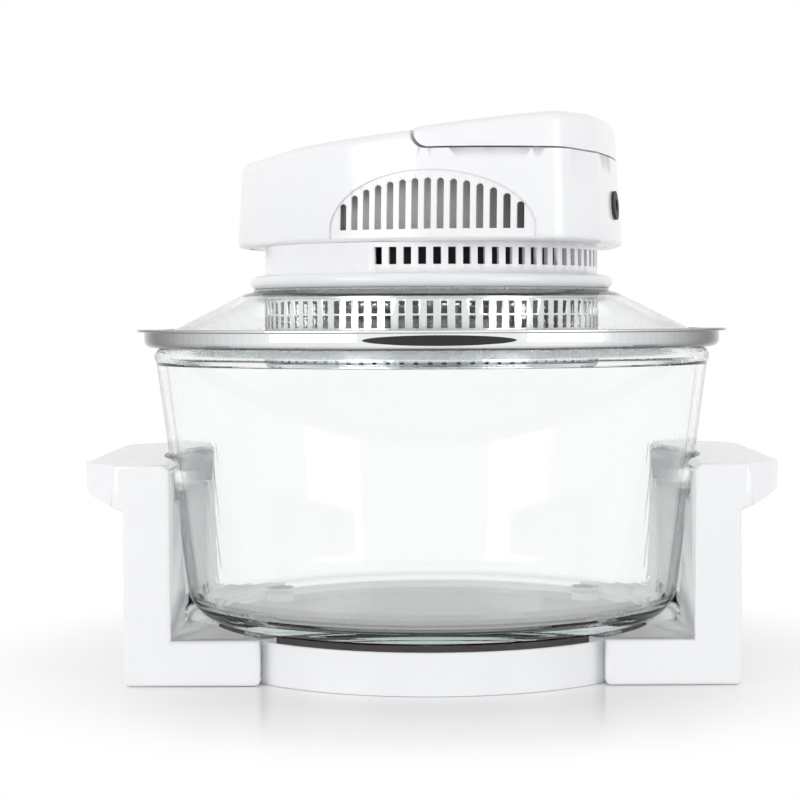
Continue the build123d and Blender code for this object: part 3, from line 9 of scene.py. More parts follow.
import bpy
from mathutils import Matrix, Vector


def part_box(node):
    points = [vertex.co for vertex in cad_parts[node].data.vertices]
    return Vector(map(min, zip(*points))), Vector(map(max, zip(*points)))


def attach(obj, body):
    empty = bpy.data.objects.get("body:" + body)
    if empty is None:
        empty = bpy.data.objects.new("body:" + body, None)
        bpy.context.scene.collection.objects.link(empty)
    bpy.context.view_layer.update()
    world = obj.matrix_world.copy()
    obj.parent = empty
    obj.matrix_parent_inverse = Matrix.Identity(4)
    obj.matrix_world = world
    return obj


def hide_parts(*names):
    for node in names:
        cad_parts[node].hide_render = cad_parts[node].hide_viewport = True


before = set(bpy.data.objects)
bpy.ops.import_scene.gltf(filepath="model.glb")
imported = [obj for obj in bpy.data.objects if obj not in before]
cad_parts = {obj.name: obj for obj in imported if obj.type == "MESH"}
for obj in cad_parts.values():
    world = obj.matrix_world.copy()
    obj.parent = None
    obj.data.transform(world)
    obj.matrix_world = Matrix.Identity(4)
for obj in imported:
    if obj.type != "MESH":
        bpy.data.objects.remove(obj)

bl_info = {
    "name": "Halogen Oven",
    "version": (1, 0, 0),
    "blender": (4, 5, 0),
    "location": "3D View > Sidebar > Halogen Oven",
    "description": "Finished pieces and materials of a countertop halogen oven",
    "category": "Object",
}

BOWL_LOW, BOWL_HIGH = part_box("glass_bowl")
LID_LOW, LID_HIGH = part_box("lid_glass")
BAND_LOW, BAND_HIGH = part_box("lid_rim_band")
NECK_LOW, NECK_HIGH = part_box("neck_collar")

WELD = 0.000002
TURNED_WELD = 0.000005
CORNER_REACH = 0.00002
SHELL_ANGLE = math.radians(24)
SKIN_ANGLE = math.radians(32)
TURNED_ANGLE = math.radians(30)
MARK_ANGLE = math.radians(40)
CORNER_STEPS = 6
BEAD_STEPS = 24
MARK_CORNERS = 96
MARK_SPAN = 24
MARK_START = 0.01
FLOOR_SIZE = 8
SENSOR_WIDTH = 36


# ---------------------------------------------------------------- settings


def metres(name, description, default):
    """A property in metres."""
    return bpy.props.FloatProperty(name=name, description=description, default=default, unit="LENGTH")


def number(name, description, default):
    """A plain number property."""
    return bpy.props.FloatProperty(name=name, description=description, default=default)


def angle(name, description, degrees):
    """An angle property, from its default in degrees."""
    return bpy.props.FloatProperty(
        name=name, description=description, default=math.radians(degrees), subtype="ANGLE"
    )


def power(name, description, default):
    """A lamp's power in watts."""
    return bpy.props.FloatProperty(name=name, description=description, default=default, unit="POWER")


def shade(name, description, default):
    """A colour property."""
    return bpy.props.FloatVectorProperty(
        name=name, description=description, default=default, size=3, subtype="COLOR"
    )


class OvenGlassSettings(bpy.types.PropertyGroup):
    """Sizes and tints of the bowl and the lid glass"""

    bowl_wall: metres("Bowl Wall", "Thickness of the bowl's side", 0.005)
    bowl_floor: metres("Bowl Floor", "Thickness of the bowl's floor", 0.007)
    bowl_base_radius: metres("Base Radius", "Radius of the bowl's side carried down to its base", 0.1372)
    bowl_corner: metres("Bowl Corner", "Radius of the corner between floor and side", 0.016)
    bead: metres("Rim Bead", "Radius of the round bead at the bowl's rim", 0.0047)
    lid_thickness: metres("Lid Thickness", "Thickness of the lid's glass", 0.004)
    lid_hole: metres("Lid Hole", "Radius of the hole under the head", 0.090)
    lid_seat: metres("Lid Seat", "Radius of the flat that carries the neck", 0.104)
    lid_rim: metres("Lid Rim", "Width of the flat rim held by the band", 0.008)
    tint: shade("Tint", "Colour of light that has crossed the glass", (0.990, 1.0, 0.997))
    depth_colour: shade("Depth Colour", "Colour of the glass where it is deep", (0.55, 0.63, 0.62))
    bowl_density: number("Bowl Density", "Absorption of the bowl's glass", 6.0)
    # The bowl and lid glass darken where the sight grazes them: painted dark reflection.
    bowl_grazing_shade: number("Bowl Edge", "Facing value from which the bowl darkens", 0.86)
    lid_density: number("Lid Density", "Absorption of the lid's glass", 4.0)
    lid_grazing_shade: number("Lid Edge", "Facing value from which the lid darkens", 0.90)
    segments: bpy.props.IntProperty(
        name="Segments", description="Steps round a turned piece", default=192, min=48
    )


class OvenBandSettings(bpy.types.PropertyGroup):
    """Rolled steel band round the lid's rim, and the plain dark oval on its front"""

    flange: metres("Flange", "Width of the flange beyond the band's side", 0.0041)
    flange_sheet: metres("Flange Sheet", "Thickness of the flange", 0.0014)
    foot_round: metres("Foot Rounding", "Radius of the lower edge", 0.0042)
    edge_round: metres("Edge Rounding", "Radius of the thin edges", 0.0006)
    step: metres("Step", "Edge of the seal to the band around it", 0.001)
    seal: metres("Seal", "Thickness of the seal under the band", 0.0012)
    gap: metres("Seat Gap", "Play around the lid glass", 0.0003)
    lip: metres("Lip", "Band's cover over the rim of the lid glass", 0.007)
    mark_width: metres("Mark Width", "Length of the oval along the band", 0.0766)
    mark_height: metres("Mark Height", "Height of the oval", 0.0052)
    mark_across: metres("Mark Across", "Centre of the oval from the middle of the front", 0.0038)
    mark_sheet: metres("Mark Sheet", "Thickness of the oval", 0.0006)


class OvenLinerSettings(bpy.types.PropertyGroup):
    """Thin sheets seen through the slots of the head and the neck, whose tones give the painted shade seen
    there
    """

    duct_radius: metres("Duct Radius", "Radius of the air duct round the motor", 0.0845)
    duct_foot: metres("Duct Foot", "Gap between the duct and the head's base", 0.0035)
    duct_height: metres("Duct Height", "Height of the air duct", 0.036)
    neck_radius: metres("Neck Liner Radius", "Radius of the liner inside the neck", 0.0815)
    sheet: metres("Sheet", "Thickness of both", 0.0006)


class OvenHeadSettings(bpy.types.PropertyGroup):
    """The head's turn, the fit of its nose and the middle slots of its vents"""

    turn: angle("Turn", "Turn of the head about its neck", -14)
    nose: metres("Nose", "Where the nose starts, ahead of the neck's axis", 0.0885)
    nose_share: number("Nose Share", "Length kept of the nose", 0.87)
    slot_count: bpy.props.IntProperty(name="Slot Count", description="Slots that are opened", default=4)
    slot_first: metres("First Slot", "First opened slot, along the head", 0.00798)
    slot_pitch: metres("Slot Pitch", "From one vent slot to the next", 0.00686)
    slot_width: metres("Slot Width", "Width of the opened slots", 0.00378)
    slot_out: metres("Slot Out", "Middle of the cut, out from the head's long axis", -0.0905)
    slot_depth: metres("Slot Depth", "Depth of the cut", 0.0270)
    slot_foot: metres("Slot Foot", "Lower end of the slots, above the table", 0.24101)
    slot_rise: metres("Slot Rise", "Height of the cut", 0.0090)


class OvenFinishSettings(bpy.types.PropertyGroup):
    """Colours of the opaque pieces"""

    plastic: shade("Moulded Plastic", "Stand, neck, head and handle", (0.86, 0.867, 0.885))
    rubber: shade("Rubber", "Feet", (0.10, 0.10, 0.10))
    rests: shade("Bowl Rests", "Clear soft rests under the bowl", (0.80, 0.84, 0.85))
    # The plate's near-black is painted shade of the gap between the bowl and the ring.
    plate: shade("Heat Plate", "Dark enamelled sheet under the bowl", (0.010, 0.003, 0.004))
    band: shade("Rim Band", "Polished rim band", (0.84, 0.85, 0.86))
    guard: shade("Guard", "Bright perforated guard", (0.83, 0.84, 0.85))
    # The duct's grey is painted shade seen through the head's vents.
    duct: shade("Duct", "Air duct behind the vents", (0.66, 0.64, 0.62))
    panel: shade("Control Panel", "Face of the control panel", (0.16, 0.17, 0.18))
    keys: shade("Keys", "Push keys", (0.72, 0.73, 0.74))
    mark: shade("Band Mark", "Plain dark oval on the band", (0.004, 0.004, 0.005))
    # The neck liner's near-black is painted shade seen through the neck's slots.
    neck_shade_liner: shade("Neck Liner", "Liner behind the neck's slots", (0.006, 0.006, 0.006))
    skirt: metres("Skirt", "Reach of the stand's bottom edge past the feet's seats", 0.0012)


class OvenStageSettings(bpy.types.PropertyGroup):
    """Camera, floor and lamps"""

    camera_distance: metres("Distance", "Camera to the bowl's axis", 1.150)
    camera_height: metres("Height", "Camera above the floor", 0.194)
    camera_roll: angle("Roll", "Tilt of the camera to its side", 0.21)
    lens: bpy.props.FloatProperty(
        name="Lens", description="Focal length on a 36 mm frame", default=90.05, unit="CAMERA"
    )
    shift_x: number("Shift Across", "Lens shift across", -0.0395)
    shift_y: number("Shift Up", "Lens shift up", -0.1025)
    key_power: power("Key Lamp", "Power of the main lamp", 9.0)
    key_size: metres("Key Size", "Side of the main lamp", 1.1)
    fill_power: power("Fill Lamp", "Power of the fill lamp", 6.5)
    fill_size: metres("Fill Size", "Side of the fill lamp", 1.0)
    lamp_aim: metres("Lamp Aim", "Height on the bowl's axis that both lamps face", 0.16)
    world_light: number("Room Light", "Strength of the room's light from the side and below", 1.05)
    ceiling_light: number("Ceiling Light", "Strength of the room's light from straight above", 0.54)
    floor_near: metres("Floor Near", "Distance up to which the floor shows its shadow in full", 0.14)
    floor_far: metres("Floor Far", "Distance from which the floor is plain white", 0.30)


KEY_PLACE = (-1.35, -1.35, 0.58)
FILL_PLACE = (1.50, -1.20, 0.46)


# ---------------------------------------------------------------- nodes of a material


def new_finish(name, colour, roughness, metallic=0.0):
    """A material with one Principled shader, ready for its pattern."""
    material = bpy.data.materials.new(name)
    material.use_nodes = True
    shader = material.node_tree.nodes["Principled BSDF"]
    shader.inputs["Base Color"].default_value = (*colour, 1)
    shader.inputs["Roughness"].default_value = roughness
    shader.inputs["Metallic"].default_value = metallic
    return material, shader


def object_noise(material, scale, detail=3.0, stretch=(1, 1, 1)):
    """Noise on the piece's own coordinates; its scale counts grains per metre."""
    nodes, links = material.node_tree.nodes, material.node_tree.links
    place = nodes.new("ShaderNodeTexCoord")
    mapping = nodes.new("ShaderNodeMapping")
    mapping.inputs["Scale"].default_value = stretch
    noise = nodes.new("ShaderNodeTexNoise")
    noise.inputs["Scale"].default_value = scale
    noise.inputs["Detail"].default_value = detail
    links.new(place.outputs["Object"], mapping.inputs["Vector"])
    links.new(mapping.outputs["Vector"], noise.inputs["Vector"])
    return noise


def vary_colour(material, shader, noise, low, high):
    """Base colour that wanders between two close colours."""
    nodes, links = material.node_tree.nodes, material.node_tree.links
    ramp = nodes.new("ShaderNodeValToRGB")
    ramp.color_ramp.elements[0].position = 0.35
    ramp.color_ramp.elements[1].position = 0.65
    ramp.color_ramp.elements[0].color = (*low, 1)
    ramp.color_ramp.elements[1].color = (*high, 1)
    links.new(noise.outputs["Fac"], ramp.inputs["Fac"])
    links.new(ramp.outputs["Color"], shader.inputs["Base Color"])


def vary_roughness(material, shader, noise, low, high):
    """Roughness that wanders between two values."""
    nodes, links = material.node_tree.nodes, material.node_tree.links
    spread = nodes.new("ShaderNodeMapRange")
    spread.inputs["From Min"].default_value = 0.3
    spread.inputs["From Max"].default_value = 0.7
    spread.inputs["To Min"].default_value = low
    spread.inputs["To Max"].default_value = high
    links.new(noise.outputs["Fac"], spread.inputs["Value"])
    links.new(spread.outputs["Result"], shader.inputs["Roughness"])


def add_bump(material, shader, height, strength, distance):
    """Surface relief from a height output."""
    nodes, links = material.node_tree.nodes, material.node_tree.links
    bump = nodes.new("ShaderNodeBump")
    bump.inputs["Strength"].default_value = strength
    bump.inputs["Distance"].default_value = distance
    links.new(height, bump.inputs["Height"])
    links.new(bump.outputs["Normal"], shader.inputs["Normal"])


def shaded(colour, factor):
    """The colour, darker or lighter by a factor."""
    return tuple(min(1.0, c * factor) for c in colour)


# ---------------------------------------------------------------- materials


def glossy_plastic(name, colour, roughness=0.2, coat=0.25):
    """Injection-moulded plastic: faint flow marks, a fine orange-peel skin and a glossy coat."""
    material, shader = new_finish(name, colour, roughness)
    flow = object_noise(material, 14, 4)
    vary_colour(material, shader, flow, shaded(colour, 0.985), shaded(colour, 1.01))
    vary_roughness(material, shader, flow, roughness * 0.85, roughness * 1.25)
    skin = object_noise(material, 900, 2)
    add_bump(material, shader, skin.outputs["Fac"], 0.04, 0.0002)
    shader.inputs["Specular IOR Level"].default_value = 0.5
    shader.inputs["Coat Weight"].default_value = coat
    shader.inputs["Coat Roughness"].default_value = 0.06
    return material


def satin_plastic(name, colour, roughness=0.45):
    """Spark-eroded plastic with a fine dull grain."""
    material, shader = new_finish(name, colour, roughness)
    grain = object_noise(material, 2600, 3)
    vary_colour(material, shader, grain, shaded(colour, 0.93), shaded(colour, 1.05))
    vary_roughness(material, shader, grain, roughness * 0.85, roughness * 1.15)
    add_bump(material, shader, grain.outputs["Fac"], 0.12, 0.0002)
    return material


def soft_rubber(name, colour):
    """Moulded rubber with a bloom of dust."""
    material, shader = new_finish(name, colour, 0.7)
    bloom = object_noise(material, 240, 5)
    vary_colour(material, shader, bloom, shaded(colour, 0.8), shaded(colour, 1.3))
    vary_roughness(material, shader, bloom, 0.6, 0.85)
    add_bump(material, shader, bloom.outputs["Fac"], 0.15, 0.0003)
    return material


def clear_silicone(name, colour):
    """Translucent silicone: light passes, edges look milky."""
    material, shader = new_finish(name, colour, 0.28)
    haze = object_noise(material, 160, 3)
    vary_colour(material, shader, haze, shaded(colour, 0.96), shaded(colour, 1.03))
    vary_roughness(material, shader, haze, 0.2, 0.36)
    add_bump(material, shader, haze.outputs["Fac"], 0.05, 0.0003)
    shader.inputs["Transmission Weight"].default_value = 0.55
    shader.inputs["IOR"].default_value = 1.41
    return material


def clear_glass(name, tint, depth_colour, density, grazing_shade_start):
    """Pressed glass: barely wavy, clear face on, painted dark reflection where the sight grazes it, with a
    light shadow.
    """
    material, shader = new_finish(name, tint, 0.0)
    shader.inputs["Transmission Weight"].default_value = 1.0
    shader.inputs["IOR"].default_value = 1.12
    shader.inputs["Coat Weight"].default_value = 0.35
    shader.inputs["Coat Roughness"].default_value = 0.0
    wave = object_noise(material, 22, 2)
    add_bump(material, shader, wave.outputs["Fac"], 0.02, 0.002)
    nodes, links = material.node_tree.nodes, material.node_tree.links
    # Painted dark reflection: the base colour falls to a tenth of the tint where the sight grazes the
    # glass.
    facing = nodes.new("ShaderNodeLayerWeight")
    edge = nodes.new("ShaderNodeValToRGB")
    edge.color_ramp.elements[0].position = grazing_shade_start
    edge.color_ramp.elements[0].color = (*tint, 1)
    edge.color_ramp.elements[1].position = 0.96
    edge.color_ramp.elements[1].color = (*shaded(tint, 0.1), 1)
    path = nodes.new("ShaderNodeLightPath")
    shadow = nodes.new("ShaderNodeMapRange")
    shadow.inputs["To Min"].default_value = 1
    shadow.inputs["To Max"].default_value = 0.12
    links.new(facing.outputs["Facing"], edge.inputs["Fac"])
    links.new(edge.outputs["Color"], shader.inputs["Base Color"])
    links.new(path.outputs["Is Shadow Ray"], shadow.inputs["Value"])
    links.new(shadow.outputs["Result"], shader.inputs["Alpha"])
    depth = nodes.new("ShaderNodeVolumeAbsorption")
    depth.inputs["Color"].default_value = (*depth_colour, 1)
    depth.inputs["Density"].default_value = density
    links.new(depth.outputs["Volume"], nodes["Material Output"].inputs["Volume"])
    return material


def dim_colour(material, shader, share):
    """Base colour, which has its pattern already, multiplied by a share."""
    nodes, links = material.node_tree.nodes, material.node_tree.links
    scale = nodes.new("ShaderNodeVectorMath")
    scale.operation = "SCALE"
    links.new(shader.inputs["Base Color"].links[0].from_socket, scale.inputs[0])
    links.new(share, scale.inputs["Scale"])
    links.new(scale.outputs["Vector"], shader.inputs["Base Color"])


def paint_grazing_shade(material, shader, start, end, dark):
    """Painted dark reflection: base colour that falls to a share of itself where the sight runs along the
    surface.
    """
    nodes, links = material.node_tree.nodes, material.node_tree.links
    facing = nodes.new("ShaderNodeLayerWeight")
    ramp = nodes.new("ShaderNodeMapRange")
    ramp.inputs["From Min"].default_value = start
    ramp.inputs["From Max"].default_value = end
    ramp.inputs["To Min"].default_value = 1
    ramp.inputs["To Max"].default_value = dark
    links.new(facing.outputs["Facing"], ramp.inputs["Value"])
    dim_colour(material, shader, ramp.outputs["Result"])


def turned_steel(name, colour, roughness, inside=1.0, edge=(0.55, 0.92, 0.12)):
    """Polished sheet steel with fine lines round the axis and a breath of haze, painted dark reflection at
    grazing edges and painted shade on faces towards the axis.
    """
    material, shader = new_finish(name, colour, roughness, 1.0)
    lines = object_noise(material, 2200, 2, (0.02, 0.02, 1))
    haze = object_noise(material, 30, 4)
    vary_colour(material, shader, haze, shaded(colour, 0.95), shaded(colour, 1.04))
    paint_grazing_shade(material, shader, *edge)
    paint_inner_shade(material, shader, inside)
    vary_roughness(material, shader, haze, roughness * 0.7, roughness * 1.4)
    add_bump(material, shader, lines.outputs["Fac"], 0.06, 0.0001)
    return material


def paint_inner_shade(material, shader, dark):
    """Painted shade: base colour that falls to a share of itself on faces that look at the piece's axis.
    """
    nodes, links = material.node_tree.nodes, material.node_tree.links
    place = nodes.new("ShaderNodeTexCoord")
    across = nodes.new("ShaderNodeVectorMath")
    across.operation = "MULTIPLY"
    across.inputs[1].default_value = (1, 1, 0)
    outward = nodes.new("ShaderNodeVectorMath")
    outward.operation = "DOT_PRODUCT"
    share = nodes.new("ShaderNodeMapRange")
    share.inputs["From Min"].default_value = -0.01
    share.inputs["From Max"].default_value = 0.01
    share.inputs["To Min"].default_value = dark
    share.inputs["To Max"].default_value = 1
    links.new(place.outputs["Object"], across.inputs[0])
    links.new(across.outputs["Vector"], outward.inputs[0])
    links.new(place.outputs["Normal"], outward.inputs[1])
    links.new(outward.outputs["Value"], share.inputs["Value"])
    dim_colour(material, shader, share.outputs["Result"])


def plain_metal(name, colour, roughness):
    """Rolled or pressed metal with fine scratches."""
    material, shader = new_finish(name, colour, roughness, 1.0)
    scratches = object_noise(material, 700, 4, (1, 0.08, 1))
    vary_colour(material, shader, scratches, shaded(colour, 0.9), shaded(colour, 1.06))
    vary_roughness(material, shader, scratches, roughness * 0.8, roughness * 1.3)
    add_bump(material, shader, scratches.outputs["Fac"], 0.08, 0.0001)
    return material


def enamel_sheet(name, colour):
    """Dark vitreous enamel, satin from heat, over a faint speckle."""
    material, shader = new_finish(name, colour, 0.35)
    speckle = object_noise(material, 1500, 2)
    vary_colour(material, shader, speckle, shaded(colour, 0.6), shaded(colour, 1.8))
    vary_roughness(material, shader, speckle, 0.25, 0.45)
    add_bump(material, shader, speckle.outputs["Fac"], 0.05, 0.0002)
    shader.inputs["Specular IOR Level"].default_value = 0.03
    return material


def layered_material(name, colour, gap_colour, layers_per_metre, roughness, metallic):
    """Thin layers or turns laid side by side, such as laminations and windings."""
    material, shader = new_finish(name, colour, roughness, metallic)
    nodes, links = material.node_tree.nodes, material.node_tree.links
    place = nodes.new("ShaderNodeTexCoord")
    layers = nodes.new("ShaderNodeTexWave")
    layers.bands_direction = "Z"
    layers.inputs["Scale"].default_value = layers_per_metre / 3.2
    layers.inputs["Distortion"].default_value = 0.4
    links.new(place.outputs["Object"], layers.inputs["Vector"])
    vary_colour(material, shader, layers, gap_colour, colour)
    vary_roughness(material, shader, layers, roughness * 1.3, roughness * 0.8)
    add_bump(material, shader, layers.outputs["Fac"], 0.3, 0.0002)
    return material


def quartz_tube(name):
    """Satin quartz envelope of the lamp, a little yellow where it is thick."""
    material, shader = new_finish(name, (0.93, 0.92, 0.88), 0.32)
    frost = object_noise(material, 500, 3)
    vary_colour(material, shader, frost, (0.88, 0.87, 0.82), (0.96, 0.95, 0.92))
    vary_roughness(material, shader, frost, 0.22, 0.42)
    add_bump(material, shader, frost.outputs["Fac"], 0.06, 0.0002)
    shader.inputs["Transmission Weight"].default_value = 0.6
    shader.inputs["IOR"].default_value = 1.46
    return material


def bare_ceramic(name):
    """Unglazed white ceramic with pores."""
    material, shader = new_finish(name, (0.80, 0.78, 0.73), 0.6)
    pores = object_noise(material, 1400, 4)
    vary_colour(material, shader, pores, (0.70, 0.68, 0.62), (0.86, 0.84, 0.79))
    vary_roughness(material, shader, pores, 0.5, 0.75)
    add_bump(material, shader, pores.outputs["Fac"], 0.2, 0.0003)
    return material


def circuit_board(name):
    """Green solder mask with darker copper areas under it."""
    material, shader = new_finish(name, (0.01, 0.10, 0.04), 0.35)
    nodes, links = material.node_tree.nodes, material.node_tree.links
    place = nodes.new("ShaderNodeTexCoord")
    tracks = nodes.new("ShaderNodeTexVoronoi")
    tracks.distance = "MANHATTAN"
    tracks.inputs["Scale"].default_value = 180
    links.new(place.outputs["Object"], tracks.inputs["Vector"])
    ramp = nodes.new("ShaderNodeValToRGB")
    ramp.color_ramp.interpolation = "CONSTANT"
    ramp.color_ramp.elements[0].color = (0.008, 0.07, 0.03, 1)
    ramp.color_ramp.elements[1].position = 0.45
    ramp.color_ramp.elements[1].color = (0.02, 0.16, 0.06, 1)
    links.new(tracks.outputs["Distance"], ramp.inputs["Fac"])
    links.new(ramp.outputs["Color"], shader.inputs["Base Color"])
    add_bump(material, shader, tracks.outputs["Distance"], 0.1, 0.0001)
    return material


# ---------------------------------------------------------------- helpers for pieces


def deselect_everything():
    """Leave edit mode and select nothing."""
    if bpy.context.object and bpy.context.object.mode != "OBJECT":
        bpy.ops.object.mode_set(mode="OBJECT")
    bpy.ops.object.select_all(action="DESELECT")


def dress(material, *nodes):
    """Give construction pieces one finished material."""
    for node in nodes:
        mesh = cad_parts[node].data
        mesh.materials.clear()
        mesh.materials.append(material)


def smooth_skin(node, name, material, body, slot, sharp=SKIN_ANGLE):
    """A welded, smoothly shaded copy of a construction piece, which stands for it."""
    deselect_everything()
    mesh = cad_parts[node].data.copy()
    mesh.name = name
    piece = bpy.data.objects.new(name, mesh)
    bpy.context.collection.objects.link(piece)
    bpy.context.view_layer.objects.active = piece
    piece.select_set(True)
    bpy.ops.object.mode_set(mode="EDIT")
    bpy.ops.mesh.select_all(action="SELECT")
    bpy.ops.mesh.remove_doubles(threshold=WELD)
    bpy.ops.object.mode_set(mode="OBJECT")
    bpy.ops.object.shade_smooth_by_angle(angle=sharp)
    even_normals(piece)
    finish_piece(piece, material, body, slot, node)
    return piece


def even_normals(piece):
    """Let the large faces of the active piece set the shading of its small rounded edges."""
    even = piece.modifiers.new("even", "WEIGHTED_NORMAL")
    even.keep_sharp = True
    even.weight = 80
    bpy.ops.object.modifier_apply(modifier="even")


def edit_where(piece, test):
    """Open the piece in edit mode with only the vertices selected whose place passes the test."""
    deselect_everything()
    bpy.context.view_layer.objects.active = piece
    bpy.ops.object.mode_set(mode="EDIT")
    bpy.ops.mesh.select_all(action="DESELECT")
    bpy.ops.object.mode_set(mode="OBJECT")
    for vertex in piece.data.vertices:
        vertex.select = test(vertex.co)
    bpy.ops.object.mode_set(mode="EDIT")


def finish_piece(piece, material, body, slot, *replaced):
    """Material and body of a finished piece; its slot is not used."""
    piece.data.materials.clear()
    piece.data.materials.append(material)
    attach(piece, body)
    if replaced:
        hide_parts(*replaced)


def turned_piece(name, outline, rounds, segments, closed=True):
    """A ring or dish turned about Z from its outline of (radius, height) points.

    rounds holds (radius, height, rounding) for the outline's points that are rounded off. A dish's
    outline starts and ends on the axis and isn't closed.
    """
    deselect_everything()
    bpy.ops.mesh.primitive_plane_add(size=0.001, location=(0, 0, 0))
    piece = bpy.context.object
    piece.name = name
    piece.data.name = name
    bpy.ops.object.mode_set(mode="EDIT")
    bpy.ops.mesh.select_all(action="SELECT")
    bpy.ops.mesh.merge(type="CENTER")
    start = outline[0]
    bpy.ops.transform.translate(value=(start[0], 0, start[1]))
    path = [*outline[1:], start] if closed else outline[1:]
    for last, point in zip(outline, path):
        step = (point[0] - last[0], 0, point[1] - last[1])
        bpy.ops.mesh.extrude_vertices_move(TRANSFORM_OT_translate={"value": step})
    bpy.ops.mesh.select_all(action="SELECT")
    bpy.ops.mesh.remove_doubles(threshold=TURNED_WELD)
    for radius, height, rounding in rounds:
        corner = Vector((radius, 0, height))
        edit_where(piece, lambda place: (place - corner).length < CORNER_REACH)
        bpy.ops.mesh.bevel(offset=rounding, segments=CORNER_STEPS, affect="VERTICES")
    bpy.ops.mesh.select_all(action="SELECT")
    bpy.ops.mesh.spin(steps=segments, angle=math.tau, center=(0, 0, 0), axis=(0, 0, 1))
    bpy.ops.mesh.select_all(action="SELECT")
    bpy.ops.mesh.remove_doubles(threshold=TURNED_WELD)
    bpy.ops.mesh.normals_make_consistent(inside=False)
    bpy.ops.object.mode_set(mode="OBJECT")
    bpy.ops.object.shade_smooth_by_angle(angle=TURNED_ANGLE)
    return piece


def add_liner(context, name, radius, low, high, tone):
    """A thin upright sheet turned round the neck's axis, on the lid, whose tone is painted shade seen
    through the slots.
    """
    inner = radius - context.scene.oven_liner.sheet
    outline = [(inner, low), (radius, low), (radius, high), (inner, high)]
    liner = turned_piece(name, outline, [], context.scene.oven_glass.segments)
    finish_piece(liner, satin_plastic(f"{name}_sheet", tone, 0.6), "lid", "black_plastic")


# ---------------------------------------------------------------- stand


STAND_SHELLS = {
    "base_ring": "stand_ring",
    "side_bracket_right": "grip_bracket_right",
    "side_bracket_left": "grip_bracket_left",
}


def drop_foot(shell, skirt):
    """Lower the shell's bottom edge, so that the feet hardly show."""
    foot = min(vertex.co.z for vertex in shell.data.vertices)
    edit_where(shell, lambda place: place.z < foot + 2 * skirt)
    bpy.ops.transform.translate(value=(0, 0, -skirt))
    bpy.ops.object.mode_set(mode="OBJECT")


class OVEN_OT_stand(bpy.types.Operator):
    """Moulded stand with its grips, feet, rests and heat plate"""

    bl_idname = "oven.stand"
    bl_label = "Stand"

    def execute(self, context):
        finish = context.scene.oven_finish
        plastic = glossy_plastic("stand_plastic", finish.plastic)
        for node, name in STAND_SHELLS.items():
            shell = smooth_skin(node, name, plastic, "stand", "white_gloss")
            drop_foot(shell, finish.skirt)
        # A dark plate under the bowl, coloured near-black as painted shade of the gap between the bowl and
        # the ring.
        enamel = enamel_sheet("gap_shade_enamel", finish.plate)
        smooth_skin("heat_plate", "gap_shade_plate", enamel, "stand", "dark_steel")
        silicone = clear_silicone("rest_silicone", finish.rests)
        smooth_skin("bowl_rests", "soft_rests", silicone, "stand", "silicone")
        dress(soft_rubber("foot_rubber", finish.rubber), "stand_feet")
        screw_steel = plain_metal("screw_steel", (0.55, 0.55, 0.54), 0.3)
        dress(screw_steel, "stand_screws", "shell_screws", "neck_screws")
        return {"FINISHED"}


# ---------------------------------------------------------------- glass


class OVEN_OT_bowl(bpy.types.Operator):
    """Pressed glass bowl with a round bead at its rim"""

    bl_idname = "oven.bowl"
    bl_label = "Glass Bowl"

    def execute(self, context):
        glass = context.scene.oven_glass
        bead_radius = BOWL_HIGH.x - glass.bead
        bead_height = BOWL_HIGH.z - glass.bead
        slope = (BOWL_HIGH.x - glass.bowl_base_radius) / (BOWL_HIGH.z - BOWL_LOW.z)
        floor_top = BOWL_LOW.z + glass.bowl_floor
        inner_foot = glass.bowl_base_radius + glass.bowl_floor * slope - glass.bowl_wall
        tilt = math.atan(slope)
        side_reach = math.cos(tilt) - math.sin(tilt)
        first = -tilt - math.acos(side_reach)
        last = math.tau - tilt - math.acos(side_reach - glass.bowl_wall / glass.bead)
        turns = [first + (last - first) * step / BEAD_STEPS for step in range(BEAD_STEPS + 1)]
        bead = [
            (bead_radius + glass.bead * math.cos(turn), bead_height + glass.bead * math.sin(turn))
            for turn in turns
        ]
        outline = [
            (0, BOWL_LOW.z),
            (glass.bowl_base_radius, BOWL_LOW.z),
            *bead,
            (inner_foot, floor_top),
            (0, floor_top),
        ]
        rounds = [
            (glass.bowl_base_radius, BOWL_LOW.z, glass.bowl_corner),
            (inner_foot, floor_top, glass.bowl_corner - glass.bowl_wall),
        ]
        bowl = turned_piece("pressed_bowl", outline, rounds, glass.segments, closed=False)
        pressed = clear_glass(
            "bowl_glass", glass.tint, glass.depth_colour, glass.bowl_density, glass.bowl_grazing_shade
        )
        finish_piece(bowl, pressed, "bowl", "bowl_glass", "glass_bowl")
        return {"FINISHED"}


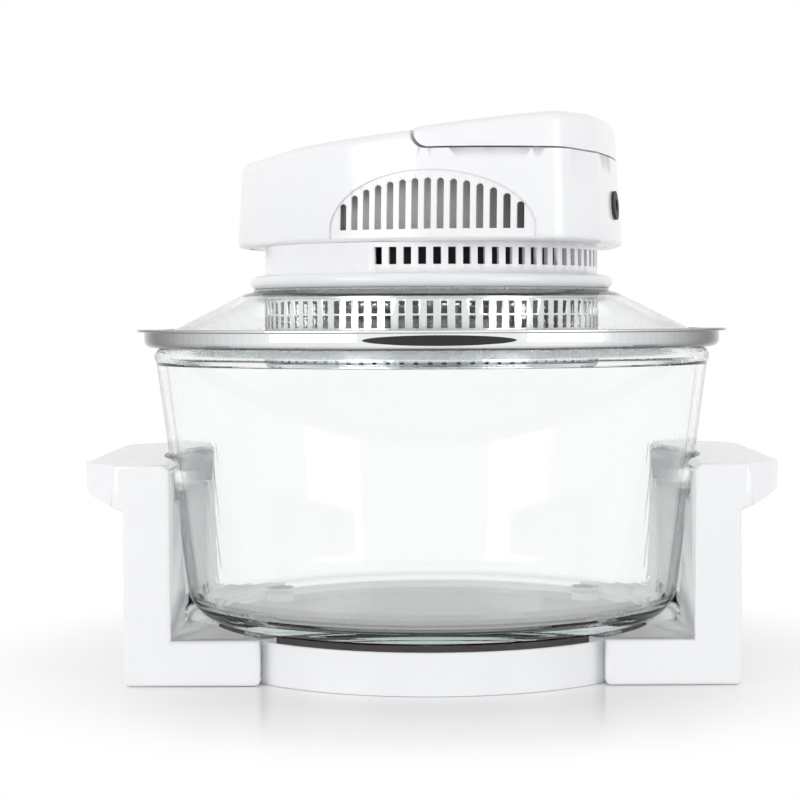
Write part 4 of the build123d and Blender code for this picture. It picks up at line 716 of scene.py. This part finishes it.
class OVEN_OT_lid(bpy.types.Operator):
    """Domed lid glass, its seal, its polished rim band and the band's plain dark oval"""

    bl_idname = "oven.lid"
    bl_label = "Glass Lid"

    def execute(self, context):
        glass, finish = context.scene.oven_glass, context.scene.oven_finish
        cone_foot = LID_HIGH.x - glass.lid_rim
        rim_top = LID_LOW.z + glass.lid_thickness
        seat, under_seat = LID_HIGH.z, LID_HIGH.z - glass.lid_thickness
        outline = [
            (glass.lid_hole, seat),
            (glass.lid_seat, seat),
            (cone_foot, rim_top),
            (LID_HIGH.x, rim_top),
            (LID_HIGH.x, LID_LOW.z),
            (cone_foot, LID_LOW.z),
            (glass.lid_seat, under_seat),
            (glass.lid_hole, under_seat),
        ]
        rounds = [
            (glass.lid_seat, seat, glass.lid_thickness),
            (glass.lid_seat, under_seat, glass.lid_thickness),
            (cone_foot, rim_top, glass.lid_thickness),
            (cone_foot, LID_LOW.z, glass.lid_thickness),
        ]
        lid = turned_piece("domed_lid", outline, rounds, glass.segments)
        bent = clear_glass("lid_glass", glass.tint, glass.depth_colour, glass.lid_density, glass.lid_grazing_shade)
        finish_piece(lid, bent, "lid", "lid_glass", "lid_glass")
        silicone = clear_silicone("seal_silicone", finish.rests)
        smooth_skin("lid_seal", "rim_seal", silicone, "lid", "silicone")
        self.add_mark(context, self.add_band(context))
        return {"FINISHED"}

    def add_band(self, context):
        """The rolled band: a side with a round foot, a thin flange and the lip over the glass."""
        glass, size = context.scene.oven_glass, context.scene.oven_band
        low, top = BAND_LOW.z, BAND_HIGH.z
        edge = BAND_HIGH.x
        side = edge - size.flange
        under_flange = top - size.flange_sheet
        inside = BOWL_HIGH.x - 2 * glass.bead - 2 * size.gap
        groove = LID_HIGH.x + size.gap
        lip = LID_HIGH.x - size.lip
        outline = [
            (inside, LID_LOW.z),
            (inside, low + size.seal),
            (BOWL_HIGH.x + size.step, low + size.seal),
            (BOWL_HIGH.x + size.step, low),
            (side, low),
            (side, under_flange),
            (edge, under_flange),
            (edge, top),
            (lip, top),
            (lip, LID_LOW.z + glass.lid_thickness),
            (groove, LID_LOW.z + glass.lid_thickness),
            (groove, LID_LOW.z),
        ]
        rounds = [
            (side, low, size.foot_round),
            (side, under_flange, size.edge_round),
            (edge, under_flange, size.edge_round),
            (edge, top, size.edge_round),
            (lip, top, size.edge_round),
        ]
        band = turned_piece("rim_band", outline, rounds, glass.segments)
        colour = context.scene.oven_finish.band
        # The band's lower round and its ends get painted dark reflection.
        polished = turned_steel("polished_band", colour, 0.10, edge=(0.2, 0.75, 0.04))
        finish_piece(band, polished, "lid", "band_chrome", "lid_rim_band")
        return band

    def add_mark(self, context, band):
        """The dark oval: a flat oval grid wrapped on the band and given its thickness."""
        size, finish = context.scene.oven_band, context.scene.oven_finish
        deselect_everything()
        middle = (BAND_LOW.z + BAND_HIGH.z) / 2
        place = (size.mark_across, BAND_LOW.y - MARK_START, middle)
        upright = (math.pi / 2, 0, 0)
        bpy.ops.mesh.primitive_circle_add(
            vertices=MARK_CORNERS, radius=0.5, location=place, rotation=upright
        )
        plate = context.object
        plate.name = plate.data.name = "band_oval"
        plate.scale = (size.mark_width, size.mark_height, 1)
        bpy.ops.object.transform_apply(location=True, rotation=True, scale=True)
        bpy.ops.object.mode_set(mode="EDIT")
        bpy.ops.mesh.select_all(action="SELECT")
        bpy.ops.mesh.fill_grid(span=MARK_SPAN)
        bpy.ops.mesh.select_all(action="SELECT")
        bpy.ops.mesh.normals_make_consistent(inside=False)
        bpy.ops.object.mode_set(mode="OBJECT")
        wrap = plate.modifiers.new("wrap", "SHRINKWRAP")
        wrap.target = band
        wrap.wrap_method = "PROJECT"
        wrap.use_project_y = True
        wrap.use_negative_direction = False
        wrap.use_positive_direction = True
        wrap.offset = 0.0
        sheet = plate.modifiers.new("sheet", "SOLIDIFY")
        sheet.thickness = size.mark_sheet
        sheet.offset = 0
        bpy.ops.object.modifier_apply(modifier="wrap")
        bpy.ops.object.modifier_apply(modifier="sheet")
        bpy.ops.object.shade_smooth_by_angle(angle=MARK_ANGLE)
        finish_piece(plate, satin_plastic("oval_plate", finish.mark, 0.3), "lid", "black_plastic")


# ---------------------------------------------------------------- hot chamber and neck


class OVEN_OT_chamber(bpy.types.Operator):
    """Perforated guard with the lamp, the reflector and the oven fan inside it"""

    bl_idname = "oven.chamber"
    bl_label = "Hot Chamber"

    def execute(self, context):
        finish = context.scene.oven_finish
        # The guard's inner faces are painted near-black: painted shade of the chamber behind the
        # perforations.
        steel = turned_steel("bright_guard", finish.guard, 0.16, inside=0.03)
        smooth_skin("fan_guard", "perforated_guard", steel, "lid", "guard_steel")
        smooth_skin("guard_grille", "guard_floor", steel, "lid", "guard_steel")
        mirror = turned_steel("reflector_steel", (0.86, 0.86, 0.86), 0.08)
        smooth_skin("reflector", "lamp_reflector", mirror, "lid", "reflector_steel")
        smooth_skin("halogen_tube", "lamp_tube", quartz_tube("frosted_quartz"), "lid", "quartz")
        dress(bare_ceramic("lamp_ceramic"), "lamp_holders")
        dress(plain_metal("zinc_sheet", (0.62, 0.63, 0.64), 0.34), "heat_baffle")
        pressed = plain_metal("fan_aluminium", (0.40, 0.41, 0.42), 0.3)
        smooth_skin("oven_fan", "oven_fan_wheel", pressed, "fan_spindle", "fan_metal")
        return {"FINISHED"}


class OVEN_OT_neck(bpy.types.Operator):
    """Slotted neck, its gasket and the clamp ring under the lid glass"""

    bl_idname = "oven.neck"
    bl_label = "Neck"

    def execute(self, context):
        finish = context.scene.oven_finish
        plastic = glossy_plastic("neck_plastic", finish.plastic)
        smooth_skin("neck_collar", "slotted_neck", plastic, "lid", "white_gloss")
        radius = context.scene.oven_liner.neck_radius
        # Near-black liner: painted shade inside the neck's slots.
        add_liner(context, "neck_shade_liner", radius, NECK_LOW.z, NECK_HIGH.z, finish.neck_shade_liner)
        clamp = turned_steel("clamp_steel", (0.66, 0.67, 0.68), 0.24)
        smooth_skin("clamp_ring", "clamp_plate", clamp, "lid", "steel")
        dress(clear_silicone("gasket_silicone", finish.rests), "neck_gasket")
        dress(plain_metal("clamp_screw_steel", (0.58, 0.58, 0.57), 0.28), "clamp_screws")
        return {"FINISHED"}


# ---------------------------------------------------------------- head, handle and controls


class OVEN_OT_head(bpy.types.Operator):
    """Moulded head with its vents, its floor and the cord's gland"""

    bl_idname = "oven.head"
    bl_label = "Head"

    def execute(self, context):
        finish, size = context.scene.oven_finish, context.scene.oven_head
        plastic = glossy_plastic("head_plastic", finish.plastic)
        shell = smooth_skin("head_shell", "moulded_head", plastic, "lid", "white_gloss", SHELL_ANGLE)
        along = Vector((math.cos(size.turn), math.sin(size.turn), 0))
        self.clear_slots(context, shell, size, along)
        self.draw_in_front(shell, size, along)
        smooth_skin("head_floor", "head_base_plate", plastic, "lid", "white_gloss")
        liner = context.scene.oven_liner
        foot = NECK_HIGH.z + liner.duct_foot
        # Grey duct sheet: painted shade seen through the vents.
        add_liner(context, "air_duct", liner.duct_radius, foot, foot + liner.duct_height, finish.duct)
        sleeve = soft_rubber("gland_rubber", (0.05, 0.05, 0.052))
        smooth_skin("cord_gland", "cord_sleeve", sleeve, "lid", "grey_rubber")
        return {"FINISHED"}

    def clear_slots(self, context, shell, size, along):
        """Open the lower ends of the middle vent slots right through the shell."""
        across = Vector((-along.y, along.x, 0))
        for number_along in range(size.slot_count):
            deselect_everything()
            reach = size.slot_first + number_along * size.slot_pitch
            middle = along * reach + across * size.slot_out
            middle.z = size.slot_foot + size.slot_rise / 2
            bpy.ops.mesh.primitive_cube_add(size=1, location=middle, rotation=(0, 0, size.turn))
            cutter = context.object
            cutter.scale = (size.slot_width, size.slot_depth, size.slot_rise)
            deselect_everything()
            context.view_layer.objects.active = shell
            shell.select_set(True)
            cut = shell.modifiers.new("cut", "BOOLEAN")
            cut.operation = "DIFFERENCE"
            cut.solver = "EXACT"
            cut.object = cutter
            bpy.ops.object.modifier_apply(modifier="cut")
            bpy.data.objects.remove(cutter, do_unlink=True)
        bpy.ops.object.shade_smooth_by_angle(angle=SHELL_ANGLE)
        even_normals(shell)

    def draw_in_front(self, shell, size, along):
        """Shorten the head's nose, ahead of the control panel, along the head's own length."""
        edit_where(shell, lambda place: place.dot(along) < -size.nose)
        for turn, share in ((size.turn, size.nose_share), (-size.turn, 1)):
            bpy.ops.transform.rotate(value=turn, orient_axis="Z", center_override=(0, 0, 0))
            bpy.ops.transform.resize(value=(share, 1, 1), center_override=(-size.nose, 0, 0))
        bpy.ops.object.mode_set(mode="OBJECT")


class OVEN_OT_handle(bpy.types.Operator):
    """Lift handle on its pins, with the switch that it presses"""

    bl_idname = "oven.handle"
    bl_label = "Lift Handle"

    def execute(self, context):
        finish = context.scene.oven_finish
        plastic = glossy_plastic("handle_plastic", finish.plastic)
        smooth_skin("lift_handle", "moulded_handle", plastic, "lift_handle", "white_gloss", SHELL_ANGLE)
        dress(plain_metal("pin_steel", (0.60, 0.60, 0.60), 0.2), "handle_pins")
        dress(satin_plastic("switch_plastic", (0.028, 0.028, 0.030)), "lid_switch")
        dress(satin_plastic("plunger_plastic", (0.50, 0.04, 0.03)), "switch_plunger")
        return {"FINISHED"}


class OVEN_OT_controls(bpy.types.Operator):
    """Recessed panel with its keys, its display and the board below"""

    bl_idname = "oven.controls"
    bl_label = "Controls"

    def execute(self, context):
        finish = context.scene.oven_finish
        panel = satin_plastic("panel_plastic", finish.panel)
        smooth_skin("control_panel", "panel_face", panel, "lid", "panel_grey")
        key_face = satin_plastic("key_plastic", finish.keys, 0.35)
        for key in ("power", "heat_down", "time_down", "start", "heat_up", "time_up"):
            smooth_skin(f"{key}_key", f"{key}_button", key_face, f"{key}_key", "key_plastic")
        dress(glossy_plastic("display_lens", (0.012, 0.012, 0.014), 0.08, 0.8), "display_window")
        dress(satin_plastic("display_body", (0.03, 0.03, 0.032)), "display_module")
        dress(circuit_board("solder_mask"), "control_board")
        dress(plain_metal("board_screw_steel", (0.58, 0.58, 0.57), 0.3), "board_screws")
        dress(satin_plastic("key_switch_plastic", (0.03, 0.03, 0.032)), "key_switches")
        return {"FINISHED"}


class OVEN_OT_motor(bpy.types.Operator):
    """Motor and cooling fan inside the head"""

    bl_idname = "oven.motor"
    bl_label = "Motor"

    def execute(self, context):
        dress(plain_metal("bracket_zinc", (0.60, 0.61, 0.62), 0.36), "motor_bracket", "bearing_straps")
        for name, node, colour, gap, layers, roughness in (
            ("stator_laminations", "motor_stator", (0.30, 0.30, 0.31), (0.10, 0.09, 0.09), 2000, 0.4),
            ("rotor_laminations", "motor_rotor", (0.34, 0.34, 0.35), (0.12, 0.11, 0.11), 2000, 0.4),
            ("coil_copper", "motor_coil", (0.80, 0.36, 0.16), (0.35, 0.12, 0.05), 1600, 0.3),
        ):
            dress(layered_material(name, colour, gap, layers, roughness, 0.9), node)
        dress(plain_metal("ground_shaft", (0.70, 0.70, 0.71), 0.14), "motor_shaft")
        dress(plain_metal("cooling_fan_aluminium", (0.84, 0.85, 0.86), 0.28), "cooling_fan")
        return {"FINISHED"}


# ---------------------------------------------------------------- stage


class OVEN_OT_stage(bpy.types.Operator):
    """Camera, floor, room light and two soft lamps"""

    bl_idname = "oven.stage"
    bl_label = "Stage"

    def execute(self, context):
        stage = context.scene.oven_stage
        self.add_camera(context, stage)
        self.add_floor(context, stage)
        self.add_room(context, stage)
        self.add_lamp("key_lamp", KEY_PLACE, stage.lamp_aim, stage.key_size, stage.key_power)
        self.add_lamp("fill_lamp", FILL_PLACE, stage.lamp_aim, stage.fill_size, stage.fill_power)
        context.scene.view_settings.view_transform = "Standard"
        return {"FINISHED"}

    def add_camera(self, context, stage):
        """Level camera in front, with the lens shifted to frame the oven."""
        deselect_everything()
        place = (0, -stage.camera_distance, stage.camera_height)
        bpy.ops.object.camera_add(location=place, rotation=(math.pi / 2, stage.camera_roll, 0))
        camera = context.object
        camera.name = "product_camera"
        camera.data.lens = stage.lens
        camera.data.sensor_width = SENSOR_WIDTH
        camera.data.shift_x = stage.shift_x
        camera.data.shift_y = stage.shift_y
        context.scene.camera = camera

    def add_lamp(self, name, place, aim, size, watts):
        """Square soft lamp that faces the bowl's axis."""
        deselect_everything()
        towards = Vector((0, 0, aim)) - Vector(place)
        turn = towards.to_track_quat("-Z", "Y").to_euler()
        bpy.ops.object.light_add(type="AREA", location=place, rotation=turn)
        lamp = bpy.context.object
        lamp.name = name
        lamp.data.size = size
        lamp.data.energy = watts

    def seen_directly(self, nodes, links):
        """1 for the camera and for whatever metal and glass show, 0 for the light that falls on things."""
        path = nodes.new("ShaderNodeLightPath")
        first = nodes.new("ShaderNodeMath")
        first.operation = "MAXIMUM"
        second = nodes.new("ShaderNodeMath")
        second.operation = "MAXIMUM"
        links.new(path.outputs["Is Camera Ray"], first.inputs[0])
        links.new(path.outputs["Is Glossy Ray"], first.inputs[1])
        links.new(first.outputs[0], second.inputs[0])
        links.new(path.outputs["Is Transmission Ray"], second.inputs[1])
        return second.outputs[0]

    def add_floor(self, context, stage):
        """Pale floor that shows its shadow near the oven and plain white further off."""
        deselect_everything()
        bpy.ops.mesh.primitive_plane_add(size=FLOOR_SIZE, location=(0, 0, 0))
        floor = context.object
        floor.name = "studio_floor"
        material = bpy.data.materials.new("studio_floor")
        material.use_nodes = True
        nodes, links = material.node_tree.nodes, material.node_tree.links
        near = nodes["Principled BSDF"]
        near.inputs["Base Color"].default_value = (0.97, 0.97, 0.97, 1)
        near.inputs["Roughness"].default_value = 0.22
        near.inputs["Specular IOR Level"].default_value = 0.35
        far = nodes.new("ShaderNodeEmission")
        place = nodes.new("ShaderNodeTexCoord")
        reach = nodes.new("ShaderNodeVectorMath")
        reach.operation = "LENGTH"
        fade = nodes.new("ShaderNodeMapRange")
        fade.interpolation_type = "SMOOTHSTEP"
        fade.inputs["From Min"].default_value = stage.floor_near
        fade.inputs["From Max"].default_value = stage.floor_far
        directly = nodes.new("ShaderNodeMath")
        directly.operation = "MULTIPLY"
        mix = nodes.new("ShaderNodeMixShader")
        links.new(place.outputs["Object"], reach.inputs[0])
        links.new(reach.outputs["Value"], fade.inputs["Value"])
        links.new(fade.outputs["Result"], directly.inputs[0])
        links.new(self.seen_directly(nodes, links), directly.inputs[1])
        links.new(directly.outputs[0], mix.inputs["Fac"])
        links.new(near.outputs["BSDF"], mix.inputs[1])
        links.new(far.outputs["Emission"], mix.inputs[2])
        links.new(mix.outputs["Shader"], nodes["Material Output"].inputs["Surface"])
        floor.data.materials.append(material)

    def add_room(self, context, stage):
        """White room whose light weakens towards the ceiling, and a plain white sight of it."""
        world = bpy.data.worlds.new("studio_room")
        context.scene.world = world
        world.use_nodes = True
        nodes, links = world.node_tree.nodes, world.node_tree.links
        room = nodes["Background"]
        room.inputs["Color"].default_value = (1, 1, 1, 1)
        place = nodes.new("ShaderNodeTexCoord")
        upright = nodes.new("ShaderNodeSeparateXYZ")
        ceiling = nodes.new("ShaderNodeMapRange")
        ceiling.inputs["From Min"].default_value = 0.1
        ceiling.inputs["To Min"].default_value = stage.world_light
        ceiling.inputs["To Max"].default_value = stage.ceiling_light
        links.new(place.outputs["Generated"], upright.inputs["Vector"])
        links.new(upright.outputs["Z"], ceiling.inputs["Value"])
        links.new(ceiling.outputs["Result"], room.inputs["Strength"])
        white = nodes.new("ShaderNodeBackground")
        white.inputs["Color"].default_value = (1, 1, 1, 1)
        white.inputs["Strength"].default_value = 1
        mix = nodes.new("ShaderNodeMixShader")
        links.new(self.seen_directly(nodes, links), mix.inputs["Fac"])
        links.new(room.outputs["Background"], mix.inputs[1])
        links.new(white.outputs["Background"], mix.inputs[2])
        links.new(mix.outputs["Shader"], nodes["World Output"].inputs["Surface"])


# ---------------------------------------------------------------- panel and run


OPERATORS = (
    OVEN_OT_stand,
    OVEN_OT_bowl,
    OVEN_OT_lid,
    OVEN_OT_chamber,
    OVEN_OT_neck,
    OVEN_OT_head,
    OVEN_OT_handle,
    OVEN_OT_controls,
    OVEN_OT_motor,
    OVEN_OT_stage,
)


class OVEN_PT_pieces(bpy.types.Panel):
    """The oven's pieces, each with the step that makes it"""

    bl_idname = "OVEN_PT_pieces"
    bl_label = "Halogen Oven"
    bl_space_type = "VIEW_3D"
    bl_region_type = "UI"
    bl_category = "Halogen Oven"

    def draw(self, context):
        scene = context.scene
        for operator in OPERATORS:
            self.layout.operator(operator.bl_idname)
        for group in (getattr(scene, name) for name in SETTINGS):
            for name in group.bl_rna.properties.keys():
                if name not in ("rna_type", "name"):
                    self.layout.prop(group, name)


SETTINGS = {
    "oven_glass": OvenGlassSettings,
    "oven_band": OvenBandSettings,
    "oven_liner": OvenLinerSettings,
    "oven_head": OvenHeadSettings,
    "oven_finish": OvenFinishSettings,
    "oven_stage": OvenStageSettings,
}
CLASSES = (*SETTINGS.values(), *OPERATORS, OVEN_PT_pieces)


def register():
    """Add the operators, the panel and the settings."""
    for item in CLASSES:
        bpy.utils.register_class(item)
    for name, group in SETTINGS.items():
        setattr(bpy.types.Scene, name, bpy.props.PointerProperty(type=group))


def unregister():
    """Take away what register added."""
    for name in SETTINGS:
        delattr(bpy.types.Scene, name)
    for item in reversed(CLASSES):
        bpy.utils.unregister_class(item)


def main():
    """Make every piece in turn."""
    register()
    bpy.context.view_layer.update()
    bpy.ops.oven.stand()
    bpy.ops.oven.bowl()
    bpy.ops.oven.lid()
    bpy.ops.oven.chamber()
    bpy.ops.oven.neck()
    bpy.ops.oven.head()
    bpy.ops.oven.handle()
    bpy.ops.oven.controls()
    bpy.ops.oven.motor()
    bpy.ops.oven.stage()


if __name__ == "__main__":
    main()
